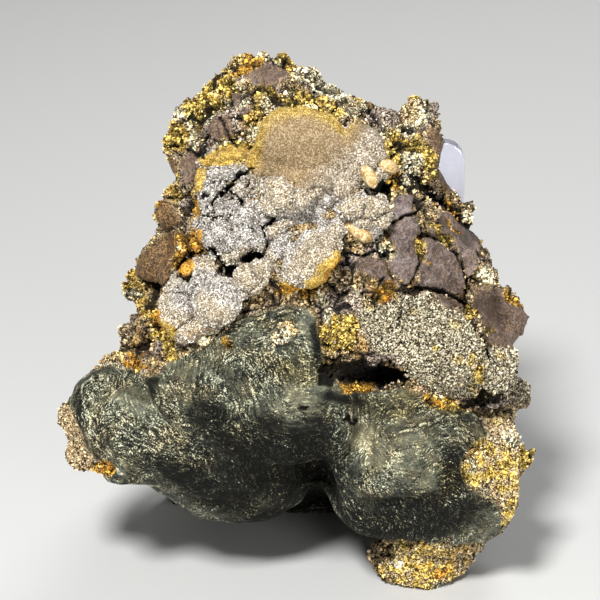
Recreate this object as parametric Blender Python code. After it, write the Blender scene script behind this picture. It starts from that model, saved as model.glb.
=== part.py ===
"""A pyrite specimen on show: one natural mass of botryoidal pyrite and limonite, and its clear rest.

The mass is one solid, because it grew as one piece. It is built up as the eye reads it: a lofted core,
the smooth pyrite lobes, then the lumps, domes, blocks and plates that stand on them, all fused by a
voxel remesh, cut by the open cracks, and thinned to few faces. Units are metres, +Z is up, and the
origin is on the table under the middle of the whole object's box.
"""

import math

import bmesh
import bpy
import numpy as np
from mathutils import Matrix, Vector, noise
from mathutils.bvhtree import BVHTree

MM = 0.001

# The display view. Places on the front are given as a viewer sees them: millimetres to the right of the
# view's middle and above it, on a plane square to the line of sight through VIEW_MIDDLE.
VIEW_ELEVATION = math.radians(22)
VIEW_DISTANCE = 450
VIEW_MIDDLE = Vector((0, 0, 57.4))
RIGHT = Vector((1, 0, 0))
UP = Vector((0, math.sin(VIEW_ELEVATION), math.cos(VIEW_ELEVATION)))
TOWARD = Vector((0, -math.cos(VIEW_ELEVATION), math.sin(VIEW_ELEVATION)))
EYE = VIEW_MIDDLE + VIEW_DISTANCE * TOWARD

# Driving dimensions, in millimetres. First the specimen's skin: the remeshing steps, the rough grains
# above the pyrite's edge, the slow swells below it, and what is too small to keep.
CORE_VOXEL = 1.4
SKIN_VOXEL = 0.85
SPECIMEN_TRIANGLES = 9200
GRAIN_HEIGHT = 1.1
GRAIN_SIZE = 5.2
SMALL_GRAIN_SIZE = 2.8
SWELL_HEIGHT = 0.35
SWELL_SIZE = 9
TABLE_SNAP = 0.5
TABLE_LEVEL = 0.001
SMALLEST_EDGE = 0.3

# The clear rest: one strip of clear plastic, bent into an L that stands behind the specimen.
REST_THICKNESS = 4
REST_WIDTH = 24
REST_RIGHT = 35.2
REST_FRONT = 38.2
REST_TOP = 77.8
REST_TOP_RADIUS = 4.5
REST_BEND_RADIUS = 4
REST_FOOT_END = 66
REST_EDGE = 0.4
REST_CORNER_STEPS = 6
REST_BEND_STEPS = 8

# Level outlines of the core: height, left, right, front, back.
CORE_LEVELS = (
    (-3, -28, 31, 21, 33),
    (5, -31, 33, 13, 34),
    (12, -34, 36, 2, 35),
    (20, -36, 40, -9, 36),
    (30, -38, 42, -15, 36),
    (40, -37, 42, -17, 36),
    (50, -32, 40, -16, 35),
    (60, -28, 36, -14, 34),
    (70, -26, 33, -11, 32),
    (80, -23, 28, -8, 30),
    (90, -21, 23, -4, 25),
    (97, -16, 7, -1, 20),
    (102, -11, 2, 4, 15),
)

# Smooth pyrite lobes: right, up, depth, then half-sizes across, deep and high.
PYRITE_LOBES = (
    (-37.8, -23.4, -4, 9.2, 10, 11.2),
    (-30.0, -24.6, -7, 14.2, 13, 12.6),
    (-18.0, -25.0, -10, 16.0, 15, 15.5),
    (-12.4, -32.6, -4, 18.6, 14, 12.0),
    (0.0, -22.0, -14, 13.0, 15, 12.0),
    (-5.0, -10.0, -8, 14.0, 12, 11.0),
    (18.0, -30.0, -13, 13.0, 14, 11.5),
    (16.0, -38.0, -11, 11.2, 12, 9.2),
    (26.8, -34.0, -11, 15.5, 14, 12.0),
    (27.2, -40.0, -8, 16.3, 13, 10.4),
    (36.6, -38.0, -3, 6.4, 10, 9.0),
    (23.6, -51.6, -8, 10.2, 9, 6.4),
    (30.6, -50.4, -6, 5.4, 6, 4.2),
)

# Lumps that stand on the core and lobes: right, up, half-sizes across, deep and high, roll in degrees,
# and the share of the depth that stands proud. A lump seen past the edge sits beside what carries it.
SHELF_LUMPS = (
    # The sparkling shelf at the right, and the ledges round the pyrite.
    (25.0, -8.5, 13.0, 7.5, 9.0, -20, 0.6),
    (14.0, -4.0, 6.0, 5.0, 8.0, 10, 0.6),
    (36.5, -13.0, 8.0, 8.0, 7.4, -40, 0.6),
    (42.6, -18.4, 4.2, 5.0, 3.2, -15, 0.6),
    (39.4, -24.8, 4.0, 7.0, 5.0, 0, 0.6),
    (39.6, -30.0, 5.0, 8.0, 6.0, 0, 0.6),
    (44.6, -31.6, 2.9, 3.0, 2.5, 0, 0.6),
    (40.2, -38.0, 3.8, 7.0, 6.5, 5, 0.6),
    (9.0, -9.0, 3.6, 5.0, 4.8, 10, 0.8),
    (14.5, -11.0, 4.5, 3.5, 2.6, -10, 0.8),
    (-43.0, -31.0, 4.6, 5.0, 3.4, -15, 0.6),
    (-45.6, -23.8, 2.9, 3.5, 3.6, 0, 0.6),
    (-35.5, -34.0, 5.5, 5.0, 2.6, -12, 0.6),
)
CRUST_DOMES = (
    # The pale crust's domes, from the top one down.
    (3.5, 31.0, 12.0, 5.0, 7.6, -20, 0.55),
    (-2.0, 35.0, 7.0, 4.0, 3.6, 5, 0.5),
    (13.0, 27.0, 5.6, 4.5, 6.4, 10, 0.55),
    (-2.4, 21.0, 4.8, 4.0, 4.2, 0, 0.8),
    (3.4, 23.2, 2.8, 2.4, 2.2, 0, 0.8),
    (-14.0, 20.5, 6.6, 3.4, 7.4, -35, 0.6),
    (-13.0, 11.5, 7.2, 3.4, 5.6, -20, 0.6),
    (-22.4, 5.6, 5.6, 3.6, 4.6, 25, 0.7),
    (-15.0, 0.0, 4.8, 4.0, 4.2, 20, 0.8),
    (-22.4, -3.0, 5.4, 3.6, 4.6, 0, 0.7),
    (-18.5, -6.8, 6.2, 3.0, 2.4, 15, 0.7),
    (2.0, 8.2, 6.4, 4.4, 5.6, 10, 0.8),
    (6.4, 12.6, 4.6, 3.8, 3.4, -20, 0.8),
    (-8.8, 4.6, 2.7, 2.6, 2.5, 0, 0.8),
    (12.0, 19.4, 5.2, 3.6, 3.2, -10, 0.7),
    (15.6, 16.6, 3.0, 2.6, 2.6, 0, 0.7),
    (12.6, 14.2, 2.9, 1.7, 1.5, -32, 0.9),
    (19.0, 23.0, 1.9, 1.9, 2.0, 0, 0.9),
)
RIM_LUMPS = (
    # Rough lumps round the edge, clockwise from the left end.
    (-37.0, -13.8, 3.0, 5.0, 3.0, 20, 0.6),
    (-32.4, -9.0, 3.6, 6.0, 4.0, 30, 0.6),
    (-29.4, -4.2, 3.8, 6.0, 4.2, 10, 0.6),
    (-32.6, 2.4, 3.5, 4.0, 3.6, 0, 0.7),
    (-28.4, 8.6, 3.7, 6.0, 5.6, -30, 0.6),
    (-26.0, 17.2, 2.4, 3.0, 2.9, 0, 0.7),
    (-22.2, 24.0, 3.0, 5.0, 4.0, 0, 0.6),
    (-23.8, 30.6, 3.2, 5.0, 3.4, 0, 0.6),
    (-21.6, 36.6, 3.6, 5.0, 3.4, 20, 0.6),
    (-16.8, 40.8, 4.0, 6.0, 4.0, 30, 0.6),
    (-10.6, 44.6, 4.6, 6.0, 3.6, 15, 0.6),
    (-5.6, 46.0, 2.6, 4.0, 3.4, 0, 0.6),
    (-2.8, 47.6, 1.5, 2.0, 2.2, 0, 0.8),
    (0.6, 43.0, 3.4, 5.0, 3.6, -25, 0.6),
    (5.6, 39.2, 3.6, 5.0, 3.2, -35, 0.6),
    (10.6, 38.0, 3.4, 5.0, 2.6, 0, 0.6),
    (16.6, 36.0, 3.4, 5.0, 2.4, 0, 0.6),
    (23.4, 36.2, 3.9, 5.0, 4.9, -15, 0.7),
    (24.8, 29.0, 3.2, 6.0, 8.0, -6, 0.6),
    (30.4, 17.6, 3.6, 5.0, 3.6, 20, 0.6),
    (34.4, 9.0, 3.6, 5.0, 4.6, 20, 0.6),
    (37.6, 4.6, 2.6, 4.0, 3.6, 20, 0.6),
)
# Lumps on the back and sides, where they are: right, depth, height, half-sizes, and the seed of a broken
# block's corners, or 0 for a round one.
BACK_LUMPS = (
    (-20.0, 27.0, 34.0, 15.0, 12.0, 17.0, 0),
    (-8.0, 30.0, 62.0, 14.0, 9.0, 15.0, 0),
    (20.0, 27.0, 30.0, 17.0, 9.0, 19.0, 0),
    (-23.0, 20.0, 55.0, 9.0, 12.0, 10.0, 0),
    (9.0, 23.0, 84.0, 12.0, 7.0, 7.0, 0),
    (-15.0, 34.0, 49.0, 12.0, 8.0, 11.0, 5),
    (-27.0, 30.0, 23.0, 10.0, 9.0, 9.0, 8),
    (-7.0, 34.0, 27.0, 11.0, 7.0, 10.0, 11),
    (-4.0, 36.0, 66.0, 8.0, 6.5, 9.0, 31),
    (22.0, 29.0, 62.0, 10.0, 6.4, 11.0, 14),
    (-11.0, 25.0, 86.0, 9.0, 7.0, 7.0, 17),
    (-31.0, 8.0, 41.0, 7.0, 12.0, 8.0, 19),
    (35.0, 10.0, 51.0, 6.0, 12.0, 9.0, 23),
    (35.0, 19.0, 28.0, 8.0, 10.0, 9.0, 29),
    (-25.0, 12.0, 70.0, 5.0, 9.0, 8.0, 37),
)
# Angular limonite blocks, as a lump's values and then the seed of their corners.
BLOCKS = (
    (39.6, -3.4, 6.4, 7.0, 5.8, -35, 0.6, 4),
    (26.5, 11.5, 8.0, 5.0, 8.5, 20, 0.55, 9),
    (32.0, 4.5, 6.0, 5.0, 7.5, 25, 0.6, 12),
    (19.6, 12.0, 3.6, 4.0, 7.8, 5, 0.5, 3),
    (11.0, 5.5, 5.5, 4.0, 4.5, 20, 0.6, 21),
    (18.0, 1.5, 4.5, 4.0, 5.5, -15, 0.6, 33),
    (-8.0, 41.0, 4.6, 4.0, 3.4, -25, 0.6, 7),
    (-16.6, 32.5, 4.6, 4.0, 4.8, 15, 0.5, 18),
)
# Open hollows: right, up, half-width, half-height, roll in degrees, depth.
HOLLOWS = (
    (15.5, -15.2, 6.0, 2.6, 8, 8.0),
    (27.5, 21.0, 6.6, 2.0, -38, 6.0),
    (36.5, -22.0, 5.2, 1.9, 15, 4.0),
    (-7.6, 8.4, 3.2, 1.6, 35, 3.0),
    (13.5, 21.8, 3.4, 1.1, -10, 2.4),
    (3.4, -31.5, 4.6, 7.0, 20, 3.4),
)
# Cracks: half-width, depth, then the points they run through.
CRACKS = (
    (0.9, 3.0, ((21.6, 2.6), (26.0, 2.2), (29.4, 1.0), (32.6, -0.6))),
    (0.7, 2.2, ((19.0, 20.0), (18.8, 12.5), (20.5, 6.5), (21.2, 2.4))),
    (0.7, 2.0, ((24.4, 14.0), (28.0, 12.6), (31.6, 9.6), (33.4, 5.4), (34.4, 2.0))),
    (0.8, 2.4, ((32.6, -0.6), (35.4, -5.0), (37.4, -8.0))),
    (0.8, 2.2, ((-13.0, 26.0), (-15.4, 23.4), (-18.4, 19.6))),
    (0.7, 2.0, ((-4.6, 14.0), (-7.6, 11.4), (-8.4, 8.0), (-11.0, 6.4))),
    (0.8, 2.2, ((-9.0, 0.5), (-4.0, 1.4), (4.5, 4.0), (9.6, 9.4))),
)
# The pyrite's edge, seen in the display view: below it the skin is smooth, above it rough.
PYRITE_EDGE = (
    (-48, -13), (-40, -13.6), (-30, -11), (-26, -13), (-20, -8.5), (-12, -3), (-3, -0.5), (3, -1.2), (5, -8),
    (6, -13), (10, -18), (22, -18.5), (32, -23), (36, -29), (33, -38), (36, -46), (30, -49), (10, -49),
)


def line_of_sight(right, up):
    """The unit direction from the eye to a place in the display view."""
    return (VIEW_MIDDLE + right * RIGHT + up * UP - EYE).normalized()


def at_depth(right, up, depth):
    """The point seen at that place whose Y is depth."""
    direction = line_of_sight(right, up)
    return EYE + direction * ((depth - EYE.y) / direction.y)


def ellipsoid(bm, centre, half_sizes, roll=0):
    """Adds a round lump, turned by roll degrees in the display view."""
    turn = Matrix.Rotation(math.radians(-roll), 4, "Y")
    placed = Matrix.Translation(centre) @ turn @ Matrix.Diagonal((*half_sizes, 1))
    bmesh.ops.create_icosphere(bm, subdivisions=3, radius=1, matrix=placed)


def angular_block(bm, centre, half_sizes, roll, seed, corners=15, spread=1.12):
    """Adds a block with flat broken faces: the hull of a few points on an ellipsoid, spread wider."""
    random = np.random.default_rng(seed)
    points = random.normal(size=(corners, 3))
    points /= np.linalg.norm(points, axis=1)[:, None]
    turn = Matrix.Rotation(math.radians(-roll), 3, "Y")
    added = [bm.verts.new(centre + turn @ Vector(p * np.array(half_sizes) * spread)) for p in points]
    hull = bmesh.ops.convex_hull(bm, input=added)
    loose = {v for v in hull["geom_interior"] if isinstance(v, bmesh.types.BMVert)}
    bmesh.ops.delete(bm, geom=list(loose), context="VERTS")


def add_core(bm, around=28, squareness=2.4):
    """Adds the lofted core: a squared oval at each level, joined to the next."""
    rings = []
    for height, left, right, front, back in CORE_LEVELS:
        ring = []
        for i in range(around):
            angle = 2 * math.pi * i / around
            c, s = math.cos(angle), math.sin(angle)
            x = (left + right) / 2 + (right - left) / 2 * math.copysign(abs(c) ** (2 / squareness), c)
            y = (front + back) / 2 + (back - front) / 2 * math.copysign(abs(s) ** (2 / squareness), s)
            ring.append(bm.verts.new((x, y, height)))
        rings.append(ring)
    for low, high in zip(rings, rings[1:]):
        for i in range(around):
            j = (i + 1) % around
            bm.faces.new((low[i], low[j], high[j], high[i]))
    bm.faces.new(rings[0][::-1])
    bm.faces.new(rings[-1])


def fused_mesh(mesh, voxel, smooth_steps):
    """The union of all closed shapes in a mesh as one even skin, its creases eased by smoothing."""
    shapes = bpy.data.objects.new("shapes", mesh)
    bpy.context.scene.collection.objects.link(shapes)
    remesh = shapes.modifiers.new("fuse", "REMESH")
    remesh.mode = "VOXEL"
    remesh.voxel_size = voxel
    ease = shapes.modifiers.new("ease", "SMOOTH")
    ease.factor = 0.5
    ease.iterations = smooth_steps
    skin = bpy.data.meshes.new_from_object(shapes.evaluated_get(bpy.context.evaluated_depsgraph_get()))
    bpy.data.objects.remove(shapes)
    return skin


def mesh_of(bm):
    """Ends the building of shapes in bm and returns them as a mesh."""
    mesh = bpy.data.meshes.new("shapes")
    bm.to_mesh(mesh)
    bm.free()
    return mesh


def place_on(tree, right, up, bury, reach=60):
    """Where a lump's centre goes: bury below the skin on its line of sight, or beside the skin it misses."""
    direction = line_of_sight(right, up)
    hit = tree.ray_cast(EYE, direction)[0]
    if hit is not None:
        return hit + direction * bury
    steps = np.arange(VIEW_DISTANCE - reach, VIEW_DISTANCE + reach, 1.0)
    return EYE + direction * float(min(steps, key=lambda d: tree.find_nearest(EYE + direction * d)[3]))


def seen_at(points):
    """Each point's place in the display view, as right and up."""
    away = points - np.array(EYE)
    scale = VIEW_DISTANCE / -(away @ np.array(TOWARD))
    return np.stack([away @ np.array(RIGHT), away @ np.array(UP)], axis=1) * scale[:, None]


def inside(places, edge):
    """Which places lie inside a closed outline, by counting crossings."""
    x, y = places[:, 0], places[:, 1]
    found = np.zeros(len(places), bool)
    for (x0, y0), (x1, y1) in zip(edge, (*edge[1:], edge[0])):
        crosses = (y0 > y) != (y1 > y)
        found ^= crosses & (x < (x1 - x0) * (y - y0) / (y1 - y0 + 1e-12) + x0)
    return found


def distance_to_run(places, run):
    """Distance from each place to a line through several points."""
    nearest = np.full(len(places), np.inf)
    for a, b in zip(run, run[1:]):
        a, b = np.array(a), np.array(b)
        share = np.clip(((places - a) @ (b - a)) / ((b - a) @ (b - a)), 0, 1)
        nearest = np.minimum(nearest, np.linalg.norm(places - a - share[:, None] * (b - a), axis=1))
    return nearest


def lumpy(point, cell):
    """From about -0.5 to 0.5: round grains of the given size, close together."""
    return 0.5 - noise.voronoi(Vector(point) / cell)[0][0]


def roughen(mesh):
    """Moves the skin's points: rough grains above the pyrite's edge, slow swells below it, and the cracks
    and hollows cut away from the eye."""
    count = len(mesh.vertices)
    points = np.empty(count * 3, np.float32)
    mesh.vertices.foreach_get("co", points)
    points = points.reshape(-1, 3).astype(float)
    normals = np.empty(count * 3, np.float32)
    mesh.vertices.foreach_get("normal", normals)
    normals = normals.reshape(-1, 3)
    places = seen_at(points)
    smooth = inside(places, PYRITE_EDGE)
    grains = np.array([lumpy(p, GRAIN_SIZE) + 0.6 * lumpy(p, SMALL_GRAIN_SIZE) for p in points])
    swells = np.array([noise.noise(Vector(p) / SWELL_SIZE) for p in points])
    points += normals * np.where(smooth, SWELL_HEIGHT * swells, GRAIN_HEIGHT * grains)[:, None]
    faces_eye = np.clip(normals @ np.array(TOWARD) * 3, 0, 1)
    cut = np.zeros(count)
    for half_width, depth, run in CRACKS:
        cut = np.maximum(cut, depth * (1 - (distance_to_run(places, run) / half_width) ** 2))
    for right, up, half_across, half_up, roll, depth in HOLLOWS:
        c, s = math.cos(math.radians(roll)), math.sin(math.radians(roll))
        offset = places - np.array((right, up))
        along, across = offset @ (c, s), offset @ (-s, c)
        cut = np.maximum(cut, depth * (1 - (along / half_across) ** 2 - (across / half_up) ** 2))
    points -= np.array(TOWARD) * (cut * faces_eye)[:, None]
    mesh.vertices.foreach_set("co", points.astype(np.float32).ravel())
    mesh.update()


def thinned(mesh, triangles):
    """A copy with few faces, kept where the shape turns most."""
    dense = bpy.data.objects.new("dense", mesh)
    bpy.context.scene.collection.objects.link(dense)
    thin = dense.modifiers.new("thin", "DECIMATE")
    mesh.calc_loop_triangles()
    thin.ratio = triangles / len(mesh.loop_triangles)
    few = bpy.data.meshes.new_from_object(dense.evaluated_get(bpy.context.evaluated_depsgraph_get()))
    bpy.data.objects.remove(dense)
    return few


def cut_flat_at_table(mesh, cleanings=3):
    """Cuts off what lies below the table, which leaves the small flat faces that the specimen stands on,
    and then takes out edges and faces too small to be seen."""
    bm = bmesh.new()
    bm.from_mesh(mesh)
    for vert in bm.verts:
        if abs(vert.co.z) < TABLE_SNAP:
            vert.co.z = 0
    everything = bm.verts[:] + bm.edges[:] + bm.faces[:]
    bmesh.ops.bisect_plane(bm, geom=everything, plane_co=(0, 0, 0), plane_no=(0, 0, 1), clear_inner=True)
    on_table = [f for f in bm.faces if all(v.co.z < TABLE_LEVEL for v in f.verts)]
    bmesh.ops.delete(bm, geom=on_table, context="FACES")
    bmesh.ops.holes_fill(bm, edges=[e for e in bm.edges if e.is_boundary], sides=0)
    bmesh.ops.triangulate(bm, faces=bm.faces)
    for _ in range(cleanings):
        bmesh.ops.dissolve_degenerate(bm, dist=SMALLEST_EDGE, edges=bm.edges)
        bmesh.ops.triangulate(bm, faces=bm.faces)
    bm.to_mesh(mesh)
    bm.free()


def build_specimen(material):
    """The one natural solid."""
    bm = bmesh.new()
    add_core(bm)
    for right, up, depth, *half_sizes in PYRITE_LOBES:
        ellipsoid(bm, at_depth(right, up, depth), half_sizes)
    body = fused_mesh(mesh_of(bm), CORE_VOXEL, 6)
    tree = BVHTree.FromPolygons([v.co for v in body.vertices], [p.vertices for p in body.polygons])

    bm = bmesh.new()
    bm.from_mesh(body)
    for right, up, across, deep, high, roll, proud in SHELF_LUMPS + CRUST_DOMES + RIM_LUMPS:
        centre = place_on(tree, right, up, deep * (1 - proud))
        ellipsoid(bm, centre, (across, deep, high), roll)
    for right, up, across, deep, high, roll, proud, seed in BLOCKS:
        centre = place_on(tree, right, up, deep * (1 - proud))
        angular_block(bm, centre, (across, deep, high), roll, seed)
    for x, depth, height, across, deep, high, seed in BACK_LUMPS:
        if seed:
            angular_block(bm, Vector((x, depth, height)), (across, deep, high), 0, seed)
        else:
            ellipsoid(bm, Vector((x, depth, height)), (across, deep, high))
    skin = fused_mesh(mesh_of(bm), SKIN_VOXEL, 1)
    roughen(skin)
    few = thinned(fused_mesh(skin, SKIN_VOXEL, 1), SPECIMEN_TRIANGLES)
    cut_flat_at_table(few)
    few.name = "specimen"
    few.transform(Matrix.Scale(MM, 4))
    few.materials.append(material)
    specimen = bpy.data.objects.new("specimen", few)
    bpy.context.scene.collection.objects.link(specimen)
    return specimen


def rest_side_outline():
    """The strip's centre line from its top to the end of its foot, as Y and Z, and which way it is thick."""
    half = REST_THICKNESS / 2
    bend = REST_BEND_RADIUS + half
    bend_y, bend_z = REST_FRONT + half + bend, half + bend
    stations = [((REST_FRONT + half, REST_TOP), (1, 0))]
    for i in range(REST_BEND_STEPS + 1):
        angle = math.radians(180 + 90 * i / REST_BEND_STEPS)
        place = (bend_y + bend * math.cos(angle), bend_z + bend * math.sin(angle))
        stations.append((place, (-math.cos(angle), -math.sin(angle))))
    stations.append(((REST_FOOT_END, half), (0, 1)))
    return stations


def build_rest(material, sharp_angle=math.radians(60)):
    """The bent clear strip, with round top corners, and eased along its sharp edges."""
    middle_x = REST_RIGHT - REST_WIDTH / 2
    half_x, half = REST_WIDTH / 2, REST_THICKNESS / 2
    bm = bmesh.new()
    corner = []
    for i in range(REST_CORNER_STEPS + 1):
        angle = math.radians(90 * i / REST_CORNER_STEPS)
        inset = REST_TOP_RADIUS * (1 - math.cos(angle))
        corner.append((half_x - inset, REST_TOP - REST_TOP_RADIUS + REST_TOP_RADIUS * math.sin(angle)))
    rows = [(width, (REST_FRONT + half, z), (1, 0)) for width, z in reversed(corner)]
    rows += [(half_x, place, way) for place, way in rest_side_outline()[1:]]
    rings = []
    for width, (y, z), (way_y, way_z) in rows:
        ring = []
        for side_x, side in ((-1, -1), (1, -1), (1, 1), (-1, 1)):
            point = (middle_x + side_x * width, y + side * half * way_y, z + side * half * way_z)
            ring.append(bm.verts.new(point))
        rings.append(ring)
    for one, other in zip(rings, rings[1:]):
        for i in range(4):
            j = (i + 1) % 4
            bm.faces.new((one[i], other[i], other[j], one[j]))
    bm.faces.new(rings[0])
    bm.faces.new(rings[-1][::-1])
    bmesh.ops.recalc_face_normals(bm, faces=bm.faces)
    bm.normal_update()
    sharp = [e for e in bm.edges if e.calc_face_angle() > sharp_angle]
    bmesh.ops.bevel(bm, geom=sharp, offset=REST_EDGE, segments=2, affect="EDGES", profile=0.5)
    bmesh.ops.triangulate(bm, faces=bm.faces)
    mesh = bpy.data.meshes.new("display_rest")
    bm.to_mesh(mesh)
    bm.free()
    mesh.transform(Matrix.Scale(MM, 4))
    mesh.materials.append(material)
    rest = bpy.data.objects.new("display_rest", mesh)
    bpy.context.scene.collection.objects.link(rest)
    return rest


def plain_material(name, colour, roughness, alpha=1.0):
    """A material with one colour."""
    material = bpy.data.materials.new(name)
    material.use_nodes = True
    shader = material.node_tree.nodes["Principled BSDF"]
    shader.inputs["Base Color"].default_value = (*colour, 1)
    shader.inputs["Roughness"].default_value = roughness
    shader.inputs["Alpha"].default_value = alpha
    return material


def stand_on_origin(parts):
    """Moves everything so that the origin is under the middle of the whole box, on the table."""
    corners = [v.co for part in parts for v in part.data.vertices]
    low = Vector([min(c[i] for c in corners) for i in range(3)])
    high = Vector([max(c[i] for c in corners) for i in range(3)])
    shift = Matrix.Translation((-(low.x + high.x) / 2, -(low.y + high.y) / 2, -low.z))
    for part in parts:
        part.data.transform(shift)


for old in list(bpy.data.objects):
    bpy.data.objects.remove(old, do_unlink=True)

specimen = build_specimen(plain_material("rock", (0.30, 0.26, 0.19), 0.6))
rest = build_rest(plain_material("clear_plastic", (0.9, 0.92, 0.95), 0.08, 0.35))
stand_on_origin([specimen, rest])
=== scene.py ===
"""The looks of the pyrite specimen: its rock, crusts and crystals, the clear rest, and the studio round them.

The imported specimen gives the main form. Its copy is remeshed, made finer where the display side shows it, and
shaped zone by zone: folded pyrite, blocky limonite, cracked plates, sugar druse, and a shell of pale domes.
Small crystals stand on it as real geometry. Lengths in the tables are millimetres.
"""

import math

import bmesh
import bpy
import numpy as np
from mathutils import Matrix, Vector, noise
from mathutils.bvhtree import BVHTree


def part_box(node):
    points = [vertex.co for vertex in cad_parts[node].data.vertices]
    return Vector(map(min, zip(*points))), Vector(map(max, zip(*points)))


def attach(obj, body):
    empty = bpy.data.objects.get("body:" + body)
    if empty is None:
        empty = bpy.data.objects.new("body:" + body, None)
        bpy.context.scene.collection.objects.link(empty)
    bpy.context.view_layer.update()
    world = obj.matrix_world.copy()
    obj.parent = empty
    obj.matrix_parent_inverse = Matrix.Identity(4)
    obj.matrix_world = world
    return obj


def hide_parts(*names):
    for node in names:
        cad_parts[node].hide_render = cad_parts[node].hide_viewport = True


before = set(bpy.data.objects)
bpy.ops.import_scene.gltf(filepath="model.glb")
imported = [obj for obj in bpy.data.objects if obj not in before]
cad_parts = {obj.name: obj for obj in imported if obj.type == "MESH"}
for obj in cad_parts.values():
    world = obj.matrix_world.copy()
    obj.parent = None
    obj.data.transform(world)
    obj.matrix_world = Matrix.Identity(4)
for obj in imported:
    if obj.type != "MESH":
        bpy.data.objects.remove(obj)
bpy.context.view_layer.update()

MM = 0.001

# ---------------------------------------------------------------- the display view
# Places on the display side are given as the viewer sees them: millimetres to the right of the view's middle
# and above it, on the plane square to the line of sight through that middle.
VIEW_ELEVATION = math.radians(22)
VIEW_DISTANCE = 450
VIEW_WIDTH = 120
VIEW_HEIGHT = 57.4
# The clear rest's right side and back end, from the view's middle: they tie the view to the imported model.
REST_SIDE, REST_END = 35.2, 66.0

rest_high = np.array(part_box("display_rest")[1]) / MM
MIDDLE = np.array([rest_high[0] - REST_SIDE, rest_high[1] - REST_END, VIEW_HEIGHT])
RIGHT = np.array([1, 0, 0])
UP = np.array([0, math.sin(VIEW_ELEVATION), math.cos(VIEW_ELEVATION)])
TOWARD = np.array([0, -math.cos(VIEW_ELEVATION), math.sin(VIEW_ELEVATION)])
EYE = MIDDLE + VIEW_DISTANCE * TOWARD


def seen_at(points):
    """Each point's place in the display view, as right and up."""
    away = points - EYE
    scale = VIEW_DISTANCE / -(away @ TOWARD)
    return np.stack([away @ RIGHT, away @ UP], axis=1) * scale[:, None]


def line_of_sight(right, up):
    """The unit direction from the eye to a place in the display view."""
    direction = MIDDLE + right * RIGHT + up * UP - EYE
    return direction / np.linalg.norm(direction)


def smoothstep(low, high, value):
    """0 at low and 1 at high, with a soft start and end. High may be the smaller one."""
    share = np.clip((value - low) / (high - low), 0, 1)
    return share * share * (3 - 2 * share)


def distance_to_run(places, run):
    """Distance from each place to a line through several points."""
    nearest = np.full(len(places), np.inf)
    for a, b in zip(run, run[1:]):
        a, b = np.array(a), np.array(b)
        share = np.clip(((places - a) @ (b - a)) / ((b - a) @ (b - a)), 0, 1)
        nearest = np.minimum(nearest, np.linalg.norm(places - a - share[:, None] * (b - a), axis=1))
    return nearest


def inside(places, outline, soft):
    """1 inside a closed outline and 0 outside, with an edge that is soft millimetres wide."""
    x, y = places[:, 0], places[:, 1]
    found = np.zeros(len(places), bool)
    for (x0, y0), (x1, y1) in zip(outline, (*outline[1:], outline[0])):
        crosses = (y0 > y) != (y1 > y)
        found ^= crosses & (x < (x1 - x0) * (y - y0) / (y1 - y0 + 1e-12) + x0)
    distance = distance_to_run(places, (*outline, outline[0]))
    return smoothstep(-soft, soft, np.where(found, distance, -distance))


def ovals(places, table):
    """How deep each place lies in the nearest of some ovals: 1 at a centre, 0 on an edge, negative outside.

    An oval is its centre's right and up, its reach along and across, and its roll in degrees."""
    share = np.full(len(places), -1.0)
    for right, up, long, wide, roll in table:
        c, s = math.cos(math.radians(roll)), math.sin(math.radians(roll))
        offset = places - np.array((right, up))
        share = np.maximum(share, 1 - (offset @ (c, s) / long) ** 2 - (offset @ (-s, c) / wide) ** 2)
    return share


# ---------------------------------------------------------------- noise, for arrays of points
def waves(points, size, seed):
    """Smooth noise from about -1 to 1 with features of the given size."""
    shift = Vector((seed * 17.3, seed * 5.7, seed * 11.9))
    return np.array([noise.noise(Vector(p) / size + shift) for p in points])


def grains(points, size, seed):
    """Close-packed round lumps: about 0.5 on a lump's top and -0.5 in the gaps."""
    shift = Vector((seed * 7.1, seed * 13.3, seed * 3.7))
    return np.array([0.5 - noise.voronoi(Vector(p) / size + shift)[0][0] for p in points])


def blocks(points, size, seed):
    """Angular blocks: every cell of an irregular division has its own height and slope, about -0.7 to 0.7.

    Also gives how far each point is from the cell's edge, in cells."""
    shift = Vector((seed * 3.9, seed * 8.3, seed * 12.7))
    found = [noise.voronoi(Vector(p) / size + shift) for p in points]
    edge = np.array([distances[1] - distances[0] for distances, _ in found])
    centres = np.array([near[0] for _, near in found])
    leans = np.array([noise.cell_vector(Vector(c) * 31.7) for c in centres]) - 0.5
    offset = points / size + np.array(shift) - centres
    height = 0.9 * (leans[:, 0] + leans[:, 1]) + 1.1 * np.einsum("ij,ij->i", offset, leans)
    return height, edge


def wander(places, points, reach, size, seed):
    """The places, moved about by noise, so that a zone's edge is uneven."""
    offset = np.stack([waves(points, size, seed), waves(points, size, seed + 1)], axis=1)
    return places + reach * offset


# ---------------------------------------------------------------- zones of the display side, right and up
PYRITE = (
    (-47, -19), (-46, -16.6), (-42, -13.8), (-37, -13), (-33.6, -14.4), (-30, -15), (-26.6, -13.6),
    (-23.3, -10.6), (-20, -8.3), (-15.6, -5.6), (-14.6, -4.3), (-10.6, -2.8), (-6, -1.7), (-1.3, -0.8),
    (1.3, -1.4), (3.4, -3.3), (4.3, -6.6), (4.8, -10.6), (4.4, -13.6), (6, -15.4), (8, -17), (12, -17.8),
    (18.6, -17.3), (24.6, -18.5), (28, -21.3), (34, -22.3), (36.6, -24.6), (37.6, -27.3), (34, -29),
    (32.2, -34), (34, -37.6), (38.4, -39.6), (40.2, -43.2), (40.4, -47), (38, -48.6), (31.3, -49),
    (14.6, -48.4), (12, -50), (6, -48), (-5.3, -49), (-17.3, -50), (-26, -49), (-30, -44), (-34, -40),
    (-38.6, -37), (-41.4, -32), (-43.4, -28),
)
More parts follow.
